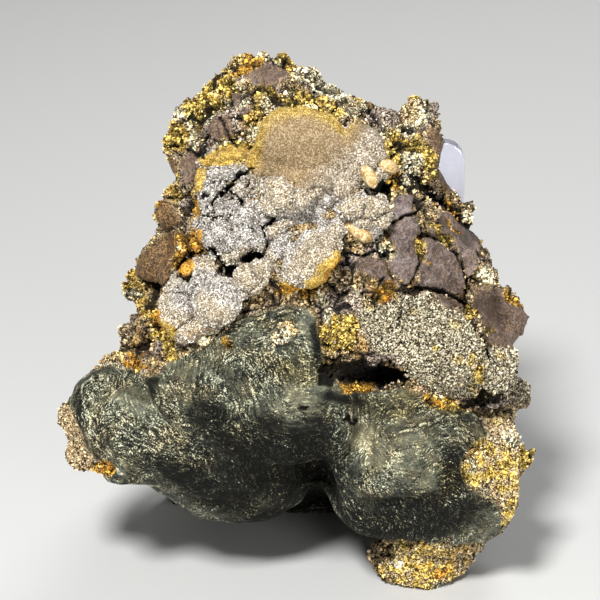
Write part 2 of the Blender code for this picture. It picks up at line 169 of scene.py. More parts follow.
TOP_DOME = (
    (-8.6, 33.3), (-7.3, 36.6), (-4, 38.4), (0.6, 38.6), (3.4, 37.6), (6.6, 37), (8.6, 34.3), (12, 35),
    (14.6, 34), (16.6, 31.3), (17.3, 28.6), (14.6, 26.3), (12, 22.4), (9.4, 19.6), (6.6, 20.6), (4, 22.6),
    (0.6, 21.4), (-5.3, 24.3), (-10, 25), (-10.8, 27), (-9.6, 30.6),
)
PALE = (
    (-20.9, 26), (-20.2, 28.4), (-17.6, 30.4), (-12.6, 30.8), (-9.4, 30), (-9.2, 27.6), (-5, 26.3), (1, 24),
    (4, 25), (9, 22), (12, 24), (16, 27), (18, 27), (17, 23), (16.6, 20), (18.4, 17.6), (17.6, 14.6),
    (14.6, 11.6), (12, 14), (9, 14), (7.6, 9), (4.6, 5), (-0.6, 1.6), (-4.4, 3.4), (-5, 6), (-8, 2.6),
    (-11.6, -0.4), (-13, -3.6), (-17, -6), (-24, -9.6), (-26, -7), (-27.6, -3.6), (-27.6, 3), (-24, 6.6),
    (-19, 9.6), (-21.6, 14), (-20.8, 20),
)
# Smooth faces of broken rock: how brown each is (0 slate to 1 brown), how far it stands out, its rise per
# millimetre to the right and up, and its outline.
PLATES = (
    (0.1, 0.5, 0.06, -0.03, (
        (17.9, 15.3), (22.4, 17.4), (24.2, 14.6), (24.5, 12.4), (23.9, 8.4), (23.5, 6.2), (22.6, 4),
        (21.2, 2.4), (18, 5.4), (17.2, 9.6),
    )),
    (0.2, 0.9, -0.07, 0.04, (
        (25.6, 12.9), (28.4, 11.7), (31, 9.5), (32.4, 7), (33.4, 4.4), (32.6, 0.6), (28.4, 1.7),
        (21.4, 2.8), (22.6, 4), (23.5, 6.2), (23.9, 8.4), (24.5, 12.4),
    )),
    (0.25, 0.5, -0.04, -0.06, (
        (25.2, 12.9), (24.6, 15.6), (27.6, 17.4), (30, 18), (32.8, 15.8), (35.4, 12.6), (36.2, 8.6),
        (34.4, 5), (33.3, 4.4), (32.4, 7), (31, 9.5), (28.4, 11.7),
    )),
    (0, 0.2, 0.1, -0.05, ((18.8, 21.2), (22.8, 21), (22.4, 17.3), (18.4, 15.6))),
    (0.45, 0.9, -0.08, 0.12, (
        (33, 0.4), (36, 3.6), (39.8, 2.6), (43.2, -0.4), (46.4, -3.4), (44.6, -9.8), (39.6, -9.2),
        (37, -8.4), (34.2, -4.8),
    )),
    (0.3, 0.4, 0, 0.1, ((26, 2), (30.6, 0.6), (33, -0.8), (32.6, -2.2), (28.6, -1.6), (26.2, 0.2))),
    (0.3, 0.5, 0.03, -0.08, (
        (10.8, 8.4), (14, 9.2), (17.6, 8), (17.9, 4.6), (20.8, 2.6), (17.4, 2), (14.6, 4.2), (11.6, 5.8),
    )),
    (0.95, 0.5, 0.04, -0.06, (
        (-24.4, 14.4), (-29.4, 12.2), (-32.6, 7.8), (-33.8, 5.2), (-30, 3.8), (-27.4, 2.8), (-25, 5.6),
        (-24, 8), (-24.2, 11.2),
    )),
    (0.3, 0.5, 0.04, 0.03, ((-13.4, 41.4), (-10.8, 41.2), (-9.8, 37.6), (-12, 36.4), (-13.6, 38.6))),
    (0.6, 0.4, 0.05, -0.05, (
        (-19.6, 33.8), (-17.6, 36.6), (-14.6, 37.6), (-12.6, 35.6), (-13.4, 32.6), (-17, 31.6),
    )),
    (0.5, 0.4, -0.05, -0.05, (
        (-23.8, 28.6), (-20.8, 30.4), (-18.8, 29.8), (-20.6, 25.6), (-22.2, 21.6), (-24, 23),
    )),
    (0.5, 0.4, 0.02, -0.04, (
        (-11.6, 44.6), (-8.4, 47.2), (-4.6, 47.4), (-1.8, 45), (-4.6, 42.4), (-9.2, 42),
    )),
    (0.8, 0.4, 0, 0, (
        (24.8, 35), (27.6, 34.8), (29.8, 28), (31, 22), (29.6, 19.4), (26.8, 24), (25.2, 29),
    )),
)
DRUSE = (
    (8.6, 0.6), (11.4, 2.4), (15, -0.6), (19.6, -0.4), (21.2, 1.6), (26.4, 1.4), (28.6, -1.4), (32.4, -2),
    (34, -4.6), (37, -8.4), (43, -9.4), (46.4, -13), (47.6, -17.4), (45, -21.4), (41, -20.6), (36, -18),
    (33, -20), (29.6, -19.8), (24, -17), (20.6, -15), (18, -12), (14.6, -9.6), (12, -5.4),
)
# Smaller patches of the same sugar, as ovals: right, up, reach along and across, roll.
SUGARED = (
    (-45.4, -27.6, 5, 9, 10), (40.2, -26.4, 3.6, 3.8, 0), (-38, -14, 6, 1.6, 16), (26, -53.6, 10, 4.8, 6),
    (39, -35.6, 6.6, 8.6, -10), (42, -43, 2.6, 5, -8),
)
TOP_ROCK = (
    (-27, 37), (-24, 42), (-16, 48), (-8, 51), (4, 51), (12, 44), (20, 42), (28, 42), (29, 30), (27, 22),
    (20, 22), (17.6, 28), (14, 35), (6, 38.6), (-6, 38.6), (-9, 32), (-14, 31), (-20, 29), (-22, 20),
    (-27, 18),
)
# Stains and crusts by colour, some with painted shade, as ovals: right, up, reach along and across, roll.
STAINS = {
    "mustard": (
        (-2, 48.2, 3.2, 2.4, -20), (-6.2, 40.8, 3.2, 2, 0), (2.4, 38.8, 6.4, 3.6, -10),
        (-24.6, 32.8, 2.6, 3, 0), (-15.6, 43, 5, 2.4, 30), (-20.6, 38.4, 3.6, 2.6, 30),
        (-13.6, 29.4, 6.4, 2.4, 12), (-19.6, 24.2, 1.3, 3, -15), (19.6, 30, 5.4, 4.6, 0),
        (24.8, 28.6, 2.2, 4.4, 30), (-27.2, -6.2, 3.4, 4, 0), (-34.2, 2.4, 2.6, 3.4, 0),
        (8, -6.8, 3.8, 4.4, -20), (38.6, -33.4, 6.2, 6, -10), (45, -31.2, 2.2, 2.2, 0),
        (24.8, -53.4, 8.6, 5.2, 6), (35.4, -13.8, 1.8, 2.8, 15), (-19, -8.6, 1, 1, 0),
        (12, 42.4, 4, 2.4, -30), (24.2, 9.4, 0.9, 2.6, 10), (26.6, 14.6, 2.2, 0.9, -40),
        (27.5, -9.5, 1, 0.8, 0), (-25.4, -11.4, 1.4, 1.8, 0), (0.4, -13.8, 6.2, 3, 0),
        (17, -20.8, 9, 2.6, 4), (29, -21.6, 5, 2, -20), (24, 11.6, 1, 2, 0), (4, 5.4, 7.2, 2.1, 46),
        (-2.2, 2.8, 3.4, 1.5, 10), (30.4, -36, 3.2, 4.6, -10), (33.6, -2, 0.6, 2.6, 15),
        (29, 12, 2.4, 1.2, -40), (42.2, -42.6, 1.8, 4.6, -8), (-39.6, -34.6, 2.6, 1.4, -30),
        (-30.6, -1.6, 2, 2.6, 0), (-27.9, -1.6, 0.8, 5.4, 0), (37.8, -6.6, 1.8, 0.9, -10),
    ),
    "rust": (
        (-21.6, 11.6, 3.2, 2.6, -20), (-23.2, 7.4, 2.2, 2, 0), (17, 1.9, 2.4, 1.9, 20),
        (19.4, 23.9, 1.8, 1.8, 0), (4.4, 5, 7.4, 1.35, 46), (-2.6, 2.2, 3.8, 1.1, 10),
        (-28.6, -4.4, 1.6, 2.2, 0), (-33, -12.4, 2, 1.7, 0), (30.2, 14.9, 2.6, 0.5, -42),
        (-14.8, -8.4, 1, 1.4, 0), (12.6, -17, 2.6, 1.2, 0), (-38.8, -33.8, 2.4, 2, 0),
        (30.6, 18.2, 2.8, 0.8, -42), (10.2, -17.4, 2.2, 1.8, 0), (-11, 46.4, 3.4, 1.6, 20),
        (42.8, -0.2, 3.4, 1.2, -38), (-21.2, 18.6, 1.3, 2.8, 10), (25.2, 7.2, 0.5, 0.9, 0),
        (28.8, -54.6, 2.4, 1.3, 25), (-28.4, 20.2, 1.6, 1.2, 60), (-27, -3, 1.4, 1.4, 0),
        (26.6, -20.4, 2.4, 0.8, -25),
    ),
    "cream": (
        (0.6, 45.2, 2.2, 1.6, 0), (6.4, 43, 5, 2.8, -30), (22.4, 27.4, 2.4, 3.4, 0),
        (42.6, -27.8, 3, 1.2, -20), (19.2, -52.4, 1.6, 1, -20), (-3.2, -6.6, 2, 2.4, 0),
        (-20.2, -8.2, 5.6, 1.5, 30), (-34, 1, 2, 1.6, 0), (17.4, 10.8, 1.8, 2.4, 0),
        (33.6, 16.4, 1.4, 0.9, -45), (37.4, 5, 1.8, 2.6, 30), (-24.2, 37.8, 1.6, 1.6, 0),
        (-11.4, 39.4, 2.2, 1, 60), (5.4, -2.2, 0.9, 3.6, 20), (23.6, 37, 2.8, 3.6, 0),
    ),
    # Creamier domes of the crust.
    "buff": (
        (-2.8, 21.6, 4.6, 3.2, -35), (3.4, 8, 5.6, 3.6, 36), (-8, 4, 3, 3, 0), (13, 17.6, 4.6, 2.4, 0),
        (-4.2, 14.6, 3.2, 1.8, 25), (-20.4, -7, 5.6, 1.8, 25), (-26.4, 1, 1.8, 5, 0),
        (3.4, 22.6, 2.8, 2, 10), (16.4, 24.4, 1.6, 3, 20),
    ),
    "tan": (
        (-44.8, -27.8, 6, 10, 10), (-34.2, -4.4, 3.8, 3.4, 20), (-26.4, 16.8, 2.6, 3.4, 0),
        (-30, 9.6, 4, 6, 30), (-20.2, -8.2, 7, 1.8, 30), (27.4, 29, 2.6, 7, 12), (8, 41, 5, 3, -30),
        (-19.6, 43, 3, 2.6, 30), (36, 15.4, 3.4, 1.2, -50), (41.4, -34.6, 5, 8.4, -8),
        (26, -53.6, 9, 4.6, 6), (7.4, 5, 4.4, 1.4, 20), (40, 8.6, 2.4, 5.4, 25), (-25, 23.4, 1.8, 3.4, 0),
        (-36.6, -8.6, 3, 2, 30), (40.4, -24.8, 4.4, 4.2, -30), (-29.6, 9.4, 4.6, 6.4, 30),
    ),
    "mauve": (
        (-5.6, 44, 3.8, 2.8, -20), (-14.4, 37, 5.4, 3.8, 40), (-21.8, 26.2, 3.8, 4.4, 0),
        (-18.4, 33.4, 3, 2.2, 0), (8.2, 7, 5.4, 2.6, 10), (8, -1.6, 5, 3.4, 20), (38.6, -21.6, 5, 2.2, 20),
        (36, -52.6, 2.2, 1.8, 30), (16.4, 36.8, 2.6, 2.2, -20), (-30.2, 12, 3, 2, 50),
        (43, -36.6, 2.6, 3, 0), (14.6, -12.6, 6, 2.6, -10),
    ),
    # Where the pyrite is darkened nearly black, by its tarnish and by painted shade in the valley under its
    # nose and on its lower parts; where bright flecks crowd on it; and where it is smooth slate grey.
    "tarnish": (
        (-5, -33, 15, 8.6, -10), (-17.4, -24, 3.4, 5, 35), (22.6, -43.8, 14, 4.2, 8), (4, -34, 4.6, 10, 0),
        (-18, -37.6, 13, 3.4, -26), (8.4, -19.8, 5, 1.2, -8), (3.4, -8.6, 1.4, 5, 0), (0, -44, 14, 4, 4),
        (-44, -23, 0.8, 6, 0), (31, -34.6, 3.2, 5, -10), (-29, -17.6, 1.4, 2.6, 30),
    ),
    "fleck": (
        (-33.6, -26.6, 9, 3, -35), (-24, -29, 6.6, 3.2, -35), (-10.8, -26, 3.6, 2.8, -60),
        (-38, -17, 7, 1.2, 12), (-27.4, -20, 2.6, 1, -50), (7.4, -32, 1.8, 8, 8),
        (10.4, -42.4, 1.8, 4.4, 35), (19.8, -44.4, 3.6, 1, 0), (-41.4, -25, 1.2, 6, 20),
        (-7.6, -13.6, 5, 3, 0), (31.4, -34.6, 3, 5.4, -10), (-22, -25.2, 5, 0.8, -25),
        (28, -24.2, 8, 0.8, 14),
    ),
    "slate": (
        (-35, -20.6, 8, 3.4, 12), (2.6, -19, 8, 3.4, 8), (1.8, -4.8, 2.4, 4.6, 0),
        (17.4, -28.4, 9.6, 5, 10), (37, -44.6, 5.2, 2.6, 10), (-23.4, -14.2, 3, 2, 0),
        (24.6, -34.6, 5, 3.4, 0),
    ),
}
# The marks that only make the pyrite lighter or darker, which fade out slowly: tarnish with painted shade,
# flecks and slate.
TONES = ("tarnish", "fleck", "slate")
# Lines that the pyrite's growth streaks follow.
FLOW = (
    ((-40, -15.4), (-43, -17.4), (-44.2, -21), (-43.6, -25.8), (-41.2, -30), (-36, -34.6), (-28, -37.4)),
    ((-28.6, -18.6), (-27.6, -21.4), (-25.2, -23.6), (-22.3, -25), (-16.6, -27), (-12, -31), (-8, -38)),
    ((-12, -14), (-9.4, -18.6), (-7.4, -23), (-2, -25.4), (4, -24.4), (7.6, -23)),
    ((8.2, -25.2), (6, -29.6), (5.6, -33.2), (7.1, -38.8), (9.6, -43.2), (14, -47)),
    ((19.6, -26.6), (23.4, -25.9), (25.6, -24.8), (29.2, -23.6), (33, -23), (36.3, -25.2), (38.2, -27.8)),
    ((-14, -5.2), (-8, -3.4), (-2, -2.4), (2.8, -4.6)),
    ((-38, -28), (-33, -31), (-28, -33), (-22, -34)),
    ((-20, -12), (-21.4, -16), (-20.6, -20.6), (-16.6, -22.6)),
)
# Folds in the pyrite: half-width, how far they stand out (or sink), then the points they run through.
FOLDS = (
    (1.5, 1.5, (
        (-28.8, -18), (-27.6, -21.4), (-25.2, -23.6), (-22.3, -25), (-18.4, -26.4), (-14.6, -27.6),
    )),
    (2.6, -1.9, ((-22.6, -18.6), (-18.6, -21.4), (-15, -24.2))),
    (1.1, 1, ((-40.8, -15.6), (-42.6, -17.6), (-43.2, -20.6), (-42.8, -25), (-40.6, -29))),
    (2.4, 1.7, ((-13, -22.4), (-6, -24), (0, -24.4), (3, -23.4))),
    (4.2, -2.8, ((-6, -29.4), (0.6, -31.6), (3.6, -37), (3.4, -44))),
    (1.7, 1.3, ((8.6, -26.2), (7.4, -30.6), (7.4, -35), (9.2, -40), (12.4, -44))),
    (1.1, 1, ((19.6, -26.6), (23.4, -25.9), (25.6, -24.8), (29.2, -23.6), (33, -23), (36.3, -25.2))),
    (1.5, -1.2, ((16, -24.6), (20, -23.6), (25, -22))),
    (1.6, -1.3, ((14, -41), (20, -41.4), (28, -40.2))),
    (1.3, -1.2, ((-33.6, -17.6), (-30.2, -19.6), (-28, -24), (-24, -27.6))),
    (1.2, 0.8, FLOW[6]), (1.2, 0.8, FLOW[7]),
)
# Small round bubbles on the pyrite: right, up, half-width, half-height, roll, how far out.
BUBBLES = ((24.4, -27, 1.3, 1.2, 0, 0.9), (20.8, -25.2, 2.2, 0.9, 20, 0.5), (-31, -20.6, 2, 1, -40, 0.3))
# Rounded lumps of smooth brown rock: right, up, reach along and across, roll, how far out.
LUMPS = (
    (-26.5, 17.3, 2.1, 3.1, 0, 1.3), (-21.8, 11, 2.9, 1.9, -25, 1.2), (-23, 5.6, 1.6, 1.3, 20, 0.8),
    (-29, 22.4, 1.6, 1.8, 0, 0.8), (-26, 26.6, 2.4, 1.8, 30, 0.9), (-32.4, -11.4, 2.2, 1.5, -20, 0.9),
    (-14.8, -8.4, 1, 1.2, 0, 0.9), (-19.2, -8.4, 1.1, 1, 0, 0.6),
)
# Cracks and crevices: half-width, depth, then the points they run through.
CRACKS = (
    (0.42, 3, (
        (21.4, 2.8), (23.8, 2.7), (26.3, 2.2), (28.4, 1.7), (30.6, 0.6), (32.4, -0.2), (33.4, -1.4),
    )),
    (0.32, 1.8, ((33.2, -1.2), (33.8, -3.2), (34.8, -5.2), (36.8, -8.4), (37.8, -12))),
    (0.3, 1.8, ((24.2, 14.6), (24.5, 12.4), (23.9, 8.4), (23.5, 6.2), (22.6, 4), (21.4, 2.8))),
    (0.28, 1.8, ((25, 15.4), (25.6, 12.9), (28.4, 11.7), (31, 9.5), (32.4, 7), (33.3, 4.4), (33, 0.6))),
    (0.3, 1.8, ((18.2, 15.2), (20.2, 16.4), (22.2, 17.2), (23.6, 17.6))),
    (0.28, 1.4, ((21.4, 2.8), (20.8, 0.4), (20.2, -2.2), (19.6, -5.2))),
    (0.55, 3, ((22.6, 22.8), (26, 20.8), (28.2, 19.6), (30.6, 17.4), (32.4, 15.6), (34.6, 14.2))),
    (0.3, 5, ((-9.4, 26.4), (-12.2, 24.6), (-15.6, 21.4), (-17.4, 19.4), (-16.6, 18))),
    (0.45, 5, ((-5, 17.4), (-5.6, 15.6), (-7.4, 14.4), (-6.6, 12.4), (-6.4, 9.6))),
    (0.6, 5, ((-17.6, 10.4), (-14.6, 6.8), (-12, 6.4), (-8.6, 8.4), (-6.4, 9.6))),
    (0.25, 4, ((-15, 22.6), (-12.6, 21), (-11.6, 19.4))),
    (0.3, 4, ((-19.6, 17.4), (-17, 16.2), (-15.4, 16.6))),
    (0.35, 4, ((-24.6, 6.4), (-22, 9), (-19.4, 9.8), (-17.4, 10.2))),
    (0.4, 1.6, ((-15.8, 36.4), (-14.6, 34), (-14, 32.1), (-12.4, 30.6))),
    (0.4, 1.6, ((13.9, 38.6), (14.1, 35.4), (14.8, 34.2))),
    (0.5, 2, ((12.4, 22.6), (14.4, 20.6), (17.8, 20.8))),
    (0.4, 1.6, ((9, 9.6), (12.4, 8.8), (14.6, 9.6), (17.6, 8.6))),
    (0.35, 1.4, ((12.4, 1), (14.6, -0.8), (15, -2.6), (14.6, 0.6), (16.6, 4.4))),
    (0.35, 1.2, ((-36, -10.2), (-33.4, -9.6), (-30.6, -9.4))),
    (0.22, 0.7, ((-4.6, -4), (-1.4, -4.6), (-0.6, -7), (-1.6, -9.2), (-5, -9), (-5.8, -6))),
)
# Open hollows: right, up, half-width, half-height, roll in degrees, depth.
HOLLOWS = (
    (10.6, -14.4, 4.2, 2.4, 0, 5), (17.6, -15, 4.6, 2, -14, 5.4), (5.4, -14.8, 2, 2.2, 0, 3.2),
    (16, 22.4, 2.6, 1.7, -20, 3.2), (24.2, 22.8, 3.6, 1.2, -42, 3.4), (-13.9, 5.6, 2.2, 1.3, -40, 4.4),
    (-9.8, 8.7, 2.3, 1.3, 30, 4.4), (-14.2, 21.8, 2.2, 0.4, 42, 4), (36.4, -20.4, 5, 1.1, 12, 2),
    (0.6, -21.5, 1.2, 0.45, 4, 1.2), (4.9, -21, 0.7, 0.32, 20, 0.8), (10, -24.2, 1.8, 0.5, -8, 1.6),
    (13.2, -23.6, 1.7, 0.22, 10, 0.8), (-31.2, -9.4, 2.2, 0.8, 20, 1.4), (-7.4, 17, 0.9, 0.6, 0, 1.2),
    (-12.4, 17.6, 0.8, 0.5, 20, 1), (-11, 23.4, 1.3, 0.35, 60, 2), (-12.4, 25.2, 0.8, 0.4, 10, 1.6),
    (-18.8, 21.2, 0.7, 0.8, 0, 1.6), (-17.2, 16.9, 1.3, 0.3, 15, 2), (-19.6, 15, 0.9, 0.4, 40, 1.6),
    (-12, 14.4, 1.2, 0.3, 20, 1.6), (-20, 29.4, 2.6, 0.7, -20, 1.8), (-24, 30.6, 1.8, 0.6, -10, 1.6),
    (20.4, -8.6, 1.2, 0.5, 0, 0.9),
)
# The broad swells that make the top dome, as the domes below.
TOP_SWELLS = (
    (3, 30.6, 13.4, 8.2, -16, 1.7), (-3.4, 33.4, 6.4, 5.4, 10, 1.7), (4.6, 33.6, 7.4, 5, -8, 1.7),
    (12.4, 28.8, 5.4, 6.6, 20, 1.8),
)
# The top dome's ochre rim.
OCHRE_RIM = (
    (-10.6, 28), (-9.4, 31), (-8.4, 34), (-6.6, 37), (-3.6, 38.4), (0.6, 38.6), (4, 37.6), (7, 36.4),
    (9, 34.4),
)
# The pale crust's domes: right, up, reach along and across, roll in degrees, and how far each stands out.
DOMES = (
    (-13.6, 29.2, 5, 1.5, 12, 1.4), (-18.6, 28.2, 1.8, 1.6, 0, 1.6), (-19.4, 24.2, 1.2, 2.8, -12, 1.1),
    (-3.4, 21.2, 4.2, 2.6, -38, 3), (-5, 23.6, 2.4, 1.8, 0, 2.2), (-0.8, 20.3, 1.6, 1.5, 0, 3.4),
    (-5.6, 18.8, 2.2, 1.8, 0, 1.8), (3.6, 23, 2.6, 2.2, 20, 2.6), (1.6, 21.4, 1.6, 1.4, 0, 2.2),
    (5.4, 20.4, 2.6, 2, -20, 1.6), (-4.8, 14, 2.2, 1.7, 20, 2.2), (-2.6, 15.2, 1.8, 1.2, 0, 1.9),
    (-6.4, 14.2, 1.1, 1, 0, 1.7), (2.9, 8.4, 6.7, 4.9, 36, 3.4), (7, 13.2, 2.2, 1.6, 0, 2.4),
    (10.6, 18.4, 3.4, 1.9, 10, 2.6), (14.4, 18, 3.6, 2.4, -10, 2.6), (12.4, 16, 2.6, 1.8, 0, 2.2),
    (16.2, 16.4, 2.2, 1.9, 0, 2.4), (9, 17.4, 1.6, 1.4, 0, 2.2), (15.6, 19.6, 2, 1.4, 0, 2),
    (-15, 20, 5.6, 5, 40, 1.3), (-11, 23.6, 4.4, 3.2, 0, 1.2), (-10.6, 16, 4.8, 4.2, 0, 1.3),
    (-17.6, 13.4, 3.4, 3, 0, 1.3), (-13.6, 11, 4.2, 2.8, -30, 1.1), (-8.6, 11.4, 2.6, 1.6, 0, 0.9),
    (-21.4, 4.2, 5.8, 4.2, 44, 2.5), (-23.8, -2.2, 4.2, 4.8, 0, 2.6), (-15.8, -0.6, 5.8, 4.4, 34, 3.3),
    (-20.4, -5.6, 5.2, 2.8, 14, 2.5), (-15.4, 7.4, 2, 1.6, 60, 1.6), (-10.6, 4.4, 2.6, 2.2, 0, 2.6),
    (-8.4, 5.6, 1.8, 1.4, 40, 2.6), (-6.6, 4.2, 1.5, 1.9, 10, 2.4), (-6.8, 6.4, 1.1, 1.4, 0, 2.2),
    (-11.6, 2.6, 1.9, 1.6, 0, 2.2), (-9.6, 1.4, 1.7, 1.5, 0, 2), (-12.4, 5.6, 1.3, 1, 0, 1.8),
    (-8.6, 2.8, 1.8, 1.3, 0, 2), (-5, 9.6, 2.4, 2, 0, 1.2), (-3.6, 11.8, 2.2, 1.6, 20, 1.2),
    (8.4, 22.4, 2.4, 1.8, 0, 1.2),
)
# Small rods that stand on the crust: right, up, half-length, half-width, roll, how far out.
KNOBS = (
    (11.8, 13.5, 2.9, 1.35, -33, 1), (13.8, 24.7, 2.6, 1.35, -62, 0.9), (17.4, 26.8, 2.3, 1.3, -20, 0.5),
)


# ---------------------------------------------------------------- meshes, in millimetres
def add_object(name, data):
    """A new object in the scene, which holds the data."""
    added = bpy.data.objects.new(name, data)
    bpy.context.scene.collection.objects.link(added)
    return added


def with_modifiers(mesh, *modifiers):
    """The mesh as it is after some modifiers, each a kind and its settings."""
    holder = add_object("holder", mesh)
    for kind, settings in modifiers:
        modifier = holder.modifiers.new(kind.lower(), kind)
        for setting, value in settings.items():
            setattr(modifier, setting, value)
    result = bpy.data.meshes.new_from_object(holder.evaluated_get(bpy.context.evaluated_depsgraph_get()))
    bpy.data.objects.remove(holder)
    return result


def read_points(mesh, what="co"):
    """The places of a mesh's points, or their normals."""
    values = np.empty(len(mesh.vertices) * 3, np.float32)
    mesh.vertices.foreach_get(what, values)
    return values.reshape(-1, 3).astype(float)


def skin_of(mesh):
    """The places of a mesh's points, and their normals."""
    return read_points(mesh), read_points(mesh, "normal")


def write_values(mesh, name, values):
    """Keeps a value for each point, which materials read by name."""
    attribute = mesh.attributes.new(name, "FLOAT", "POINT")
    attribute.data.foreach_set("value", values.astype(np.float32))


def mesh_from(points, faces):
    """A mesh from arrays, all its faces with the same number of corners."""
    mesh = bpy.data.meshes.new("piece")
    corners = faces.shape[1]
    mesh.vertices.add(len(points))
    mesh.vertices.foreach_set("co", points.astype(np.float32).ravel())
    mesh.loops.add(faces.size)
    mesh.loops.foreach_set("vertex_index", faces.astype(np.int32).ravel())
    mesh.polygons.add(len(faces))
    mesh.polygons.foreach_set("loop_start", np.arange(0, faces.size, corners, dtype=np.int32))
    mesh.update(calc_edges=True)
    mesh.validate()
    return mesh


def triangles_of(mesh):
    mesh.calc_loop_triangles()
    corners = np.empty(len(mesh.loop_triangles) * 3, np.int32)
    mesh.loop_triangles.foreach_get("vertices", corners)
    return corners.reshape(-1, 3)


def refined(mesh, wanted):
    """The mesh with every edge halved whose ends are both wanted, so the faces between them are in four."""
    bm = bmesh.new()
    bm.from_mesh(mesh)
    edges = [e for e in bm.edges if wanted[e.verts[0].index] and wanted[e.verts[1].index]]
    bmesh.ops.subdivide_edges(bm, edges=edges, cuts=1, use_grid_fill=True)
    bm.to_mesh(mesh)
    bm.free()
    return mesh


def half_of(mesh, place, out):
    """The closed part of a mesh on one side of a plane, which goes through place and faces out."""
    bm = bmesh.new()
    bm.from_mesh(mesh)
    everything = bm.verts[:] + bm.edges[:] + bm.faces[:]
    bmesh.ops.bisect_plane(bm, geom=everything, plane_co=place, plane_no=out, clear_outer=True)
    bmesh.ops.holes_fill(bm, edges=[e for e in bm.edges if e.is_boundary], sides=0)
    half = mesh.copy()
    bm.to_mesh(half)
    bm.free()
    return half


def keep_normals(mesh):
    """Stores the mesh's smooth normals, so that its parts can be shaded as one surface."""
    for axis, values in zip("xyz", read_points(mesh, "normal").T):
        write_values(mesh, f"normal_{axis}", values)


def use_kept_normals(mesh):
    kept = np.empty((3, len(mesh.vertices)), np.float32)
    for axis, values in zip("xyz", kept):
        mesh.attributes[f"normal_{axis}"].data.foreach_get("value", values)
    mesh.normals_split_custom_set_from_vertices(kept.T / np.linalg.norm(kept.T, axis=1, keepdims=True))


def show(name, mesh, material, smooth=True):
    """Puts a finished mesh, in millimetres, in the scene as a piece of the specimen."""
    mesh.transform(Matrix.Scale(MM, 4))
    if smooth:
        mesh.shade_smooth()
    else:
        mesh.shade_flat()
    mesh.materials.clear()
    mesh.materials.append(material)
    piece = add_object(name, mesh)
    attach(piece, "root")
    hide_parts("specimen")
    return piece


# ---------------------------------------------------------------- the rock
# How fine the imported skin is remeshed, and how it's smoothed.
REMESHING = {"mode": "VOXEL", "voxel_size": 0.72}
SMOOTHING = {"factor": 0.5, "iterations": 6}
# How wide the rock's large and small blocks and its grains are, and how deep the gaps between blocks go.
LARGE_BLOCK, SMALL_BLOCK, GRAIN, GAP_DEPTH = 5.2, 2.3, 1.1, 1.5
# Rock lower than the first of these heights rests on the floor, and lower than the second isn't made finer.
FLOOR_SNAP, COARSE_BELOW = 0.4, 1
# How far round a hollow or bubble on the smooth pyrite the mesh is made finer.
FINE_MARGIN = 1.2
# The zones that the rock's material reads.
PAINTED = ("pyrite", "plate", "brown", "druse", "hollow", "across", *(n for n in STAINS if n != "buff"))
# Which zones lie over which.
COVERS = (
    ("plate", ("pale", "druse", "top")),
    ("dome", ("pale", "top")),
    ("pale", ("top",)),
    ("pyrite", ("pale", "druse", "top", "plate")),
)


def front_share(points, normals):
    """1 where the skin faces the viewer and 0 where it faces away or lies far back."""
    return smoothstep(-0.25, 0.1, normals @ TOWARD) * smoothstep(9, 3, points[:, 1])


def most(zones, *names):
    """The highest of some zones' values at each point."""
    return np.maximum.reduce([zones[name] for name in names])


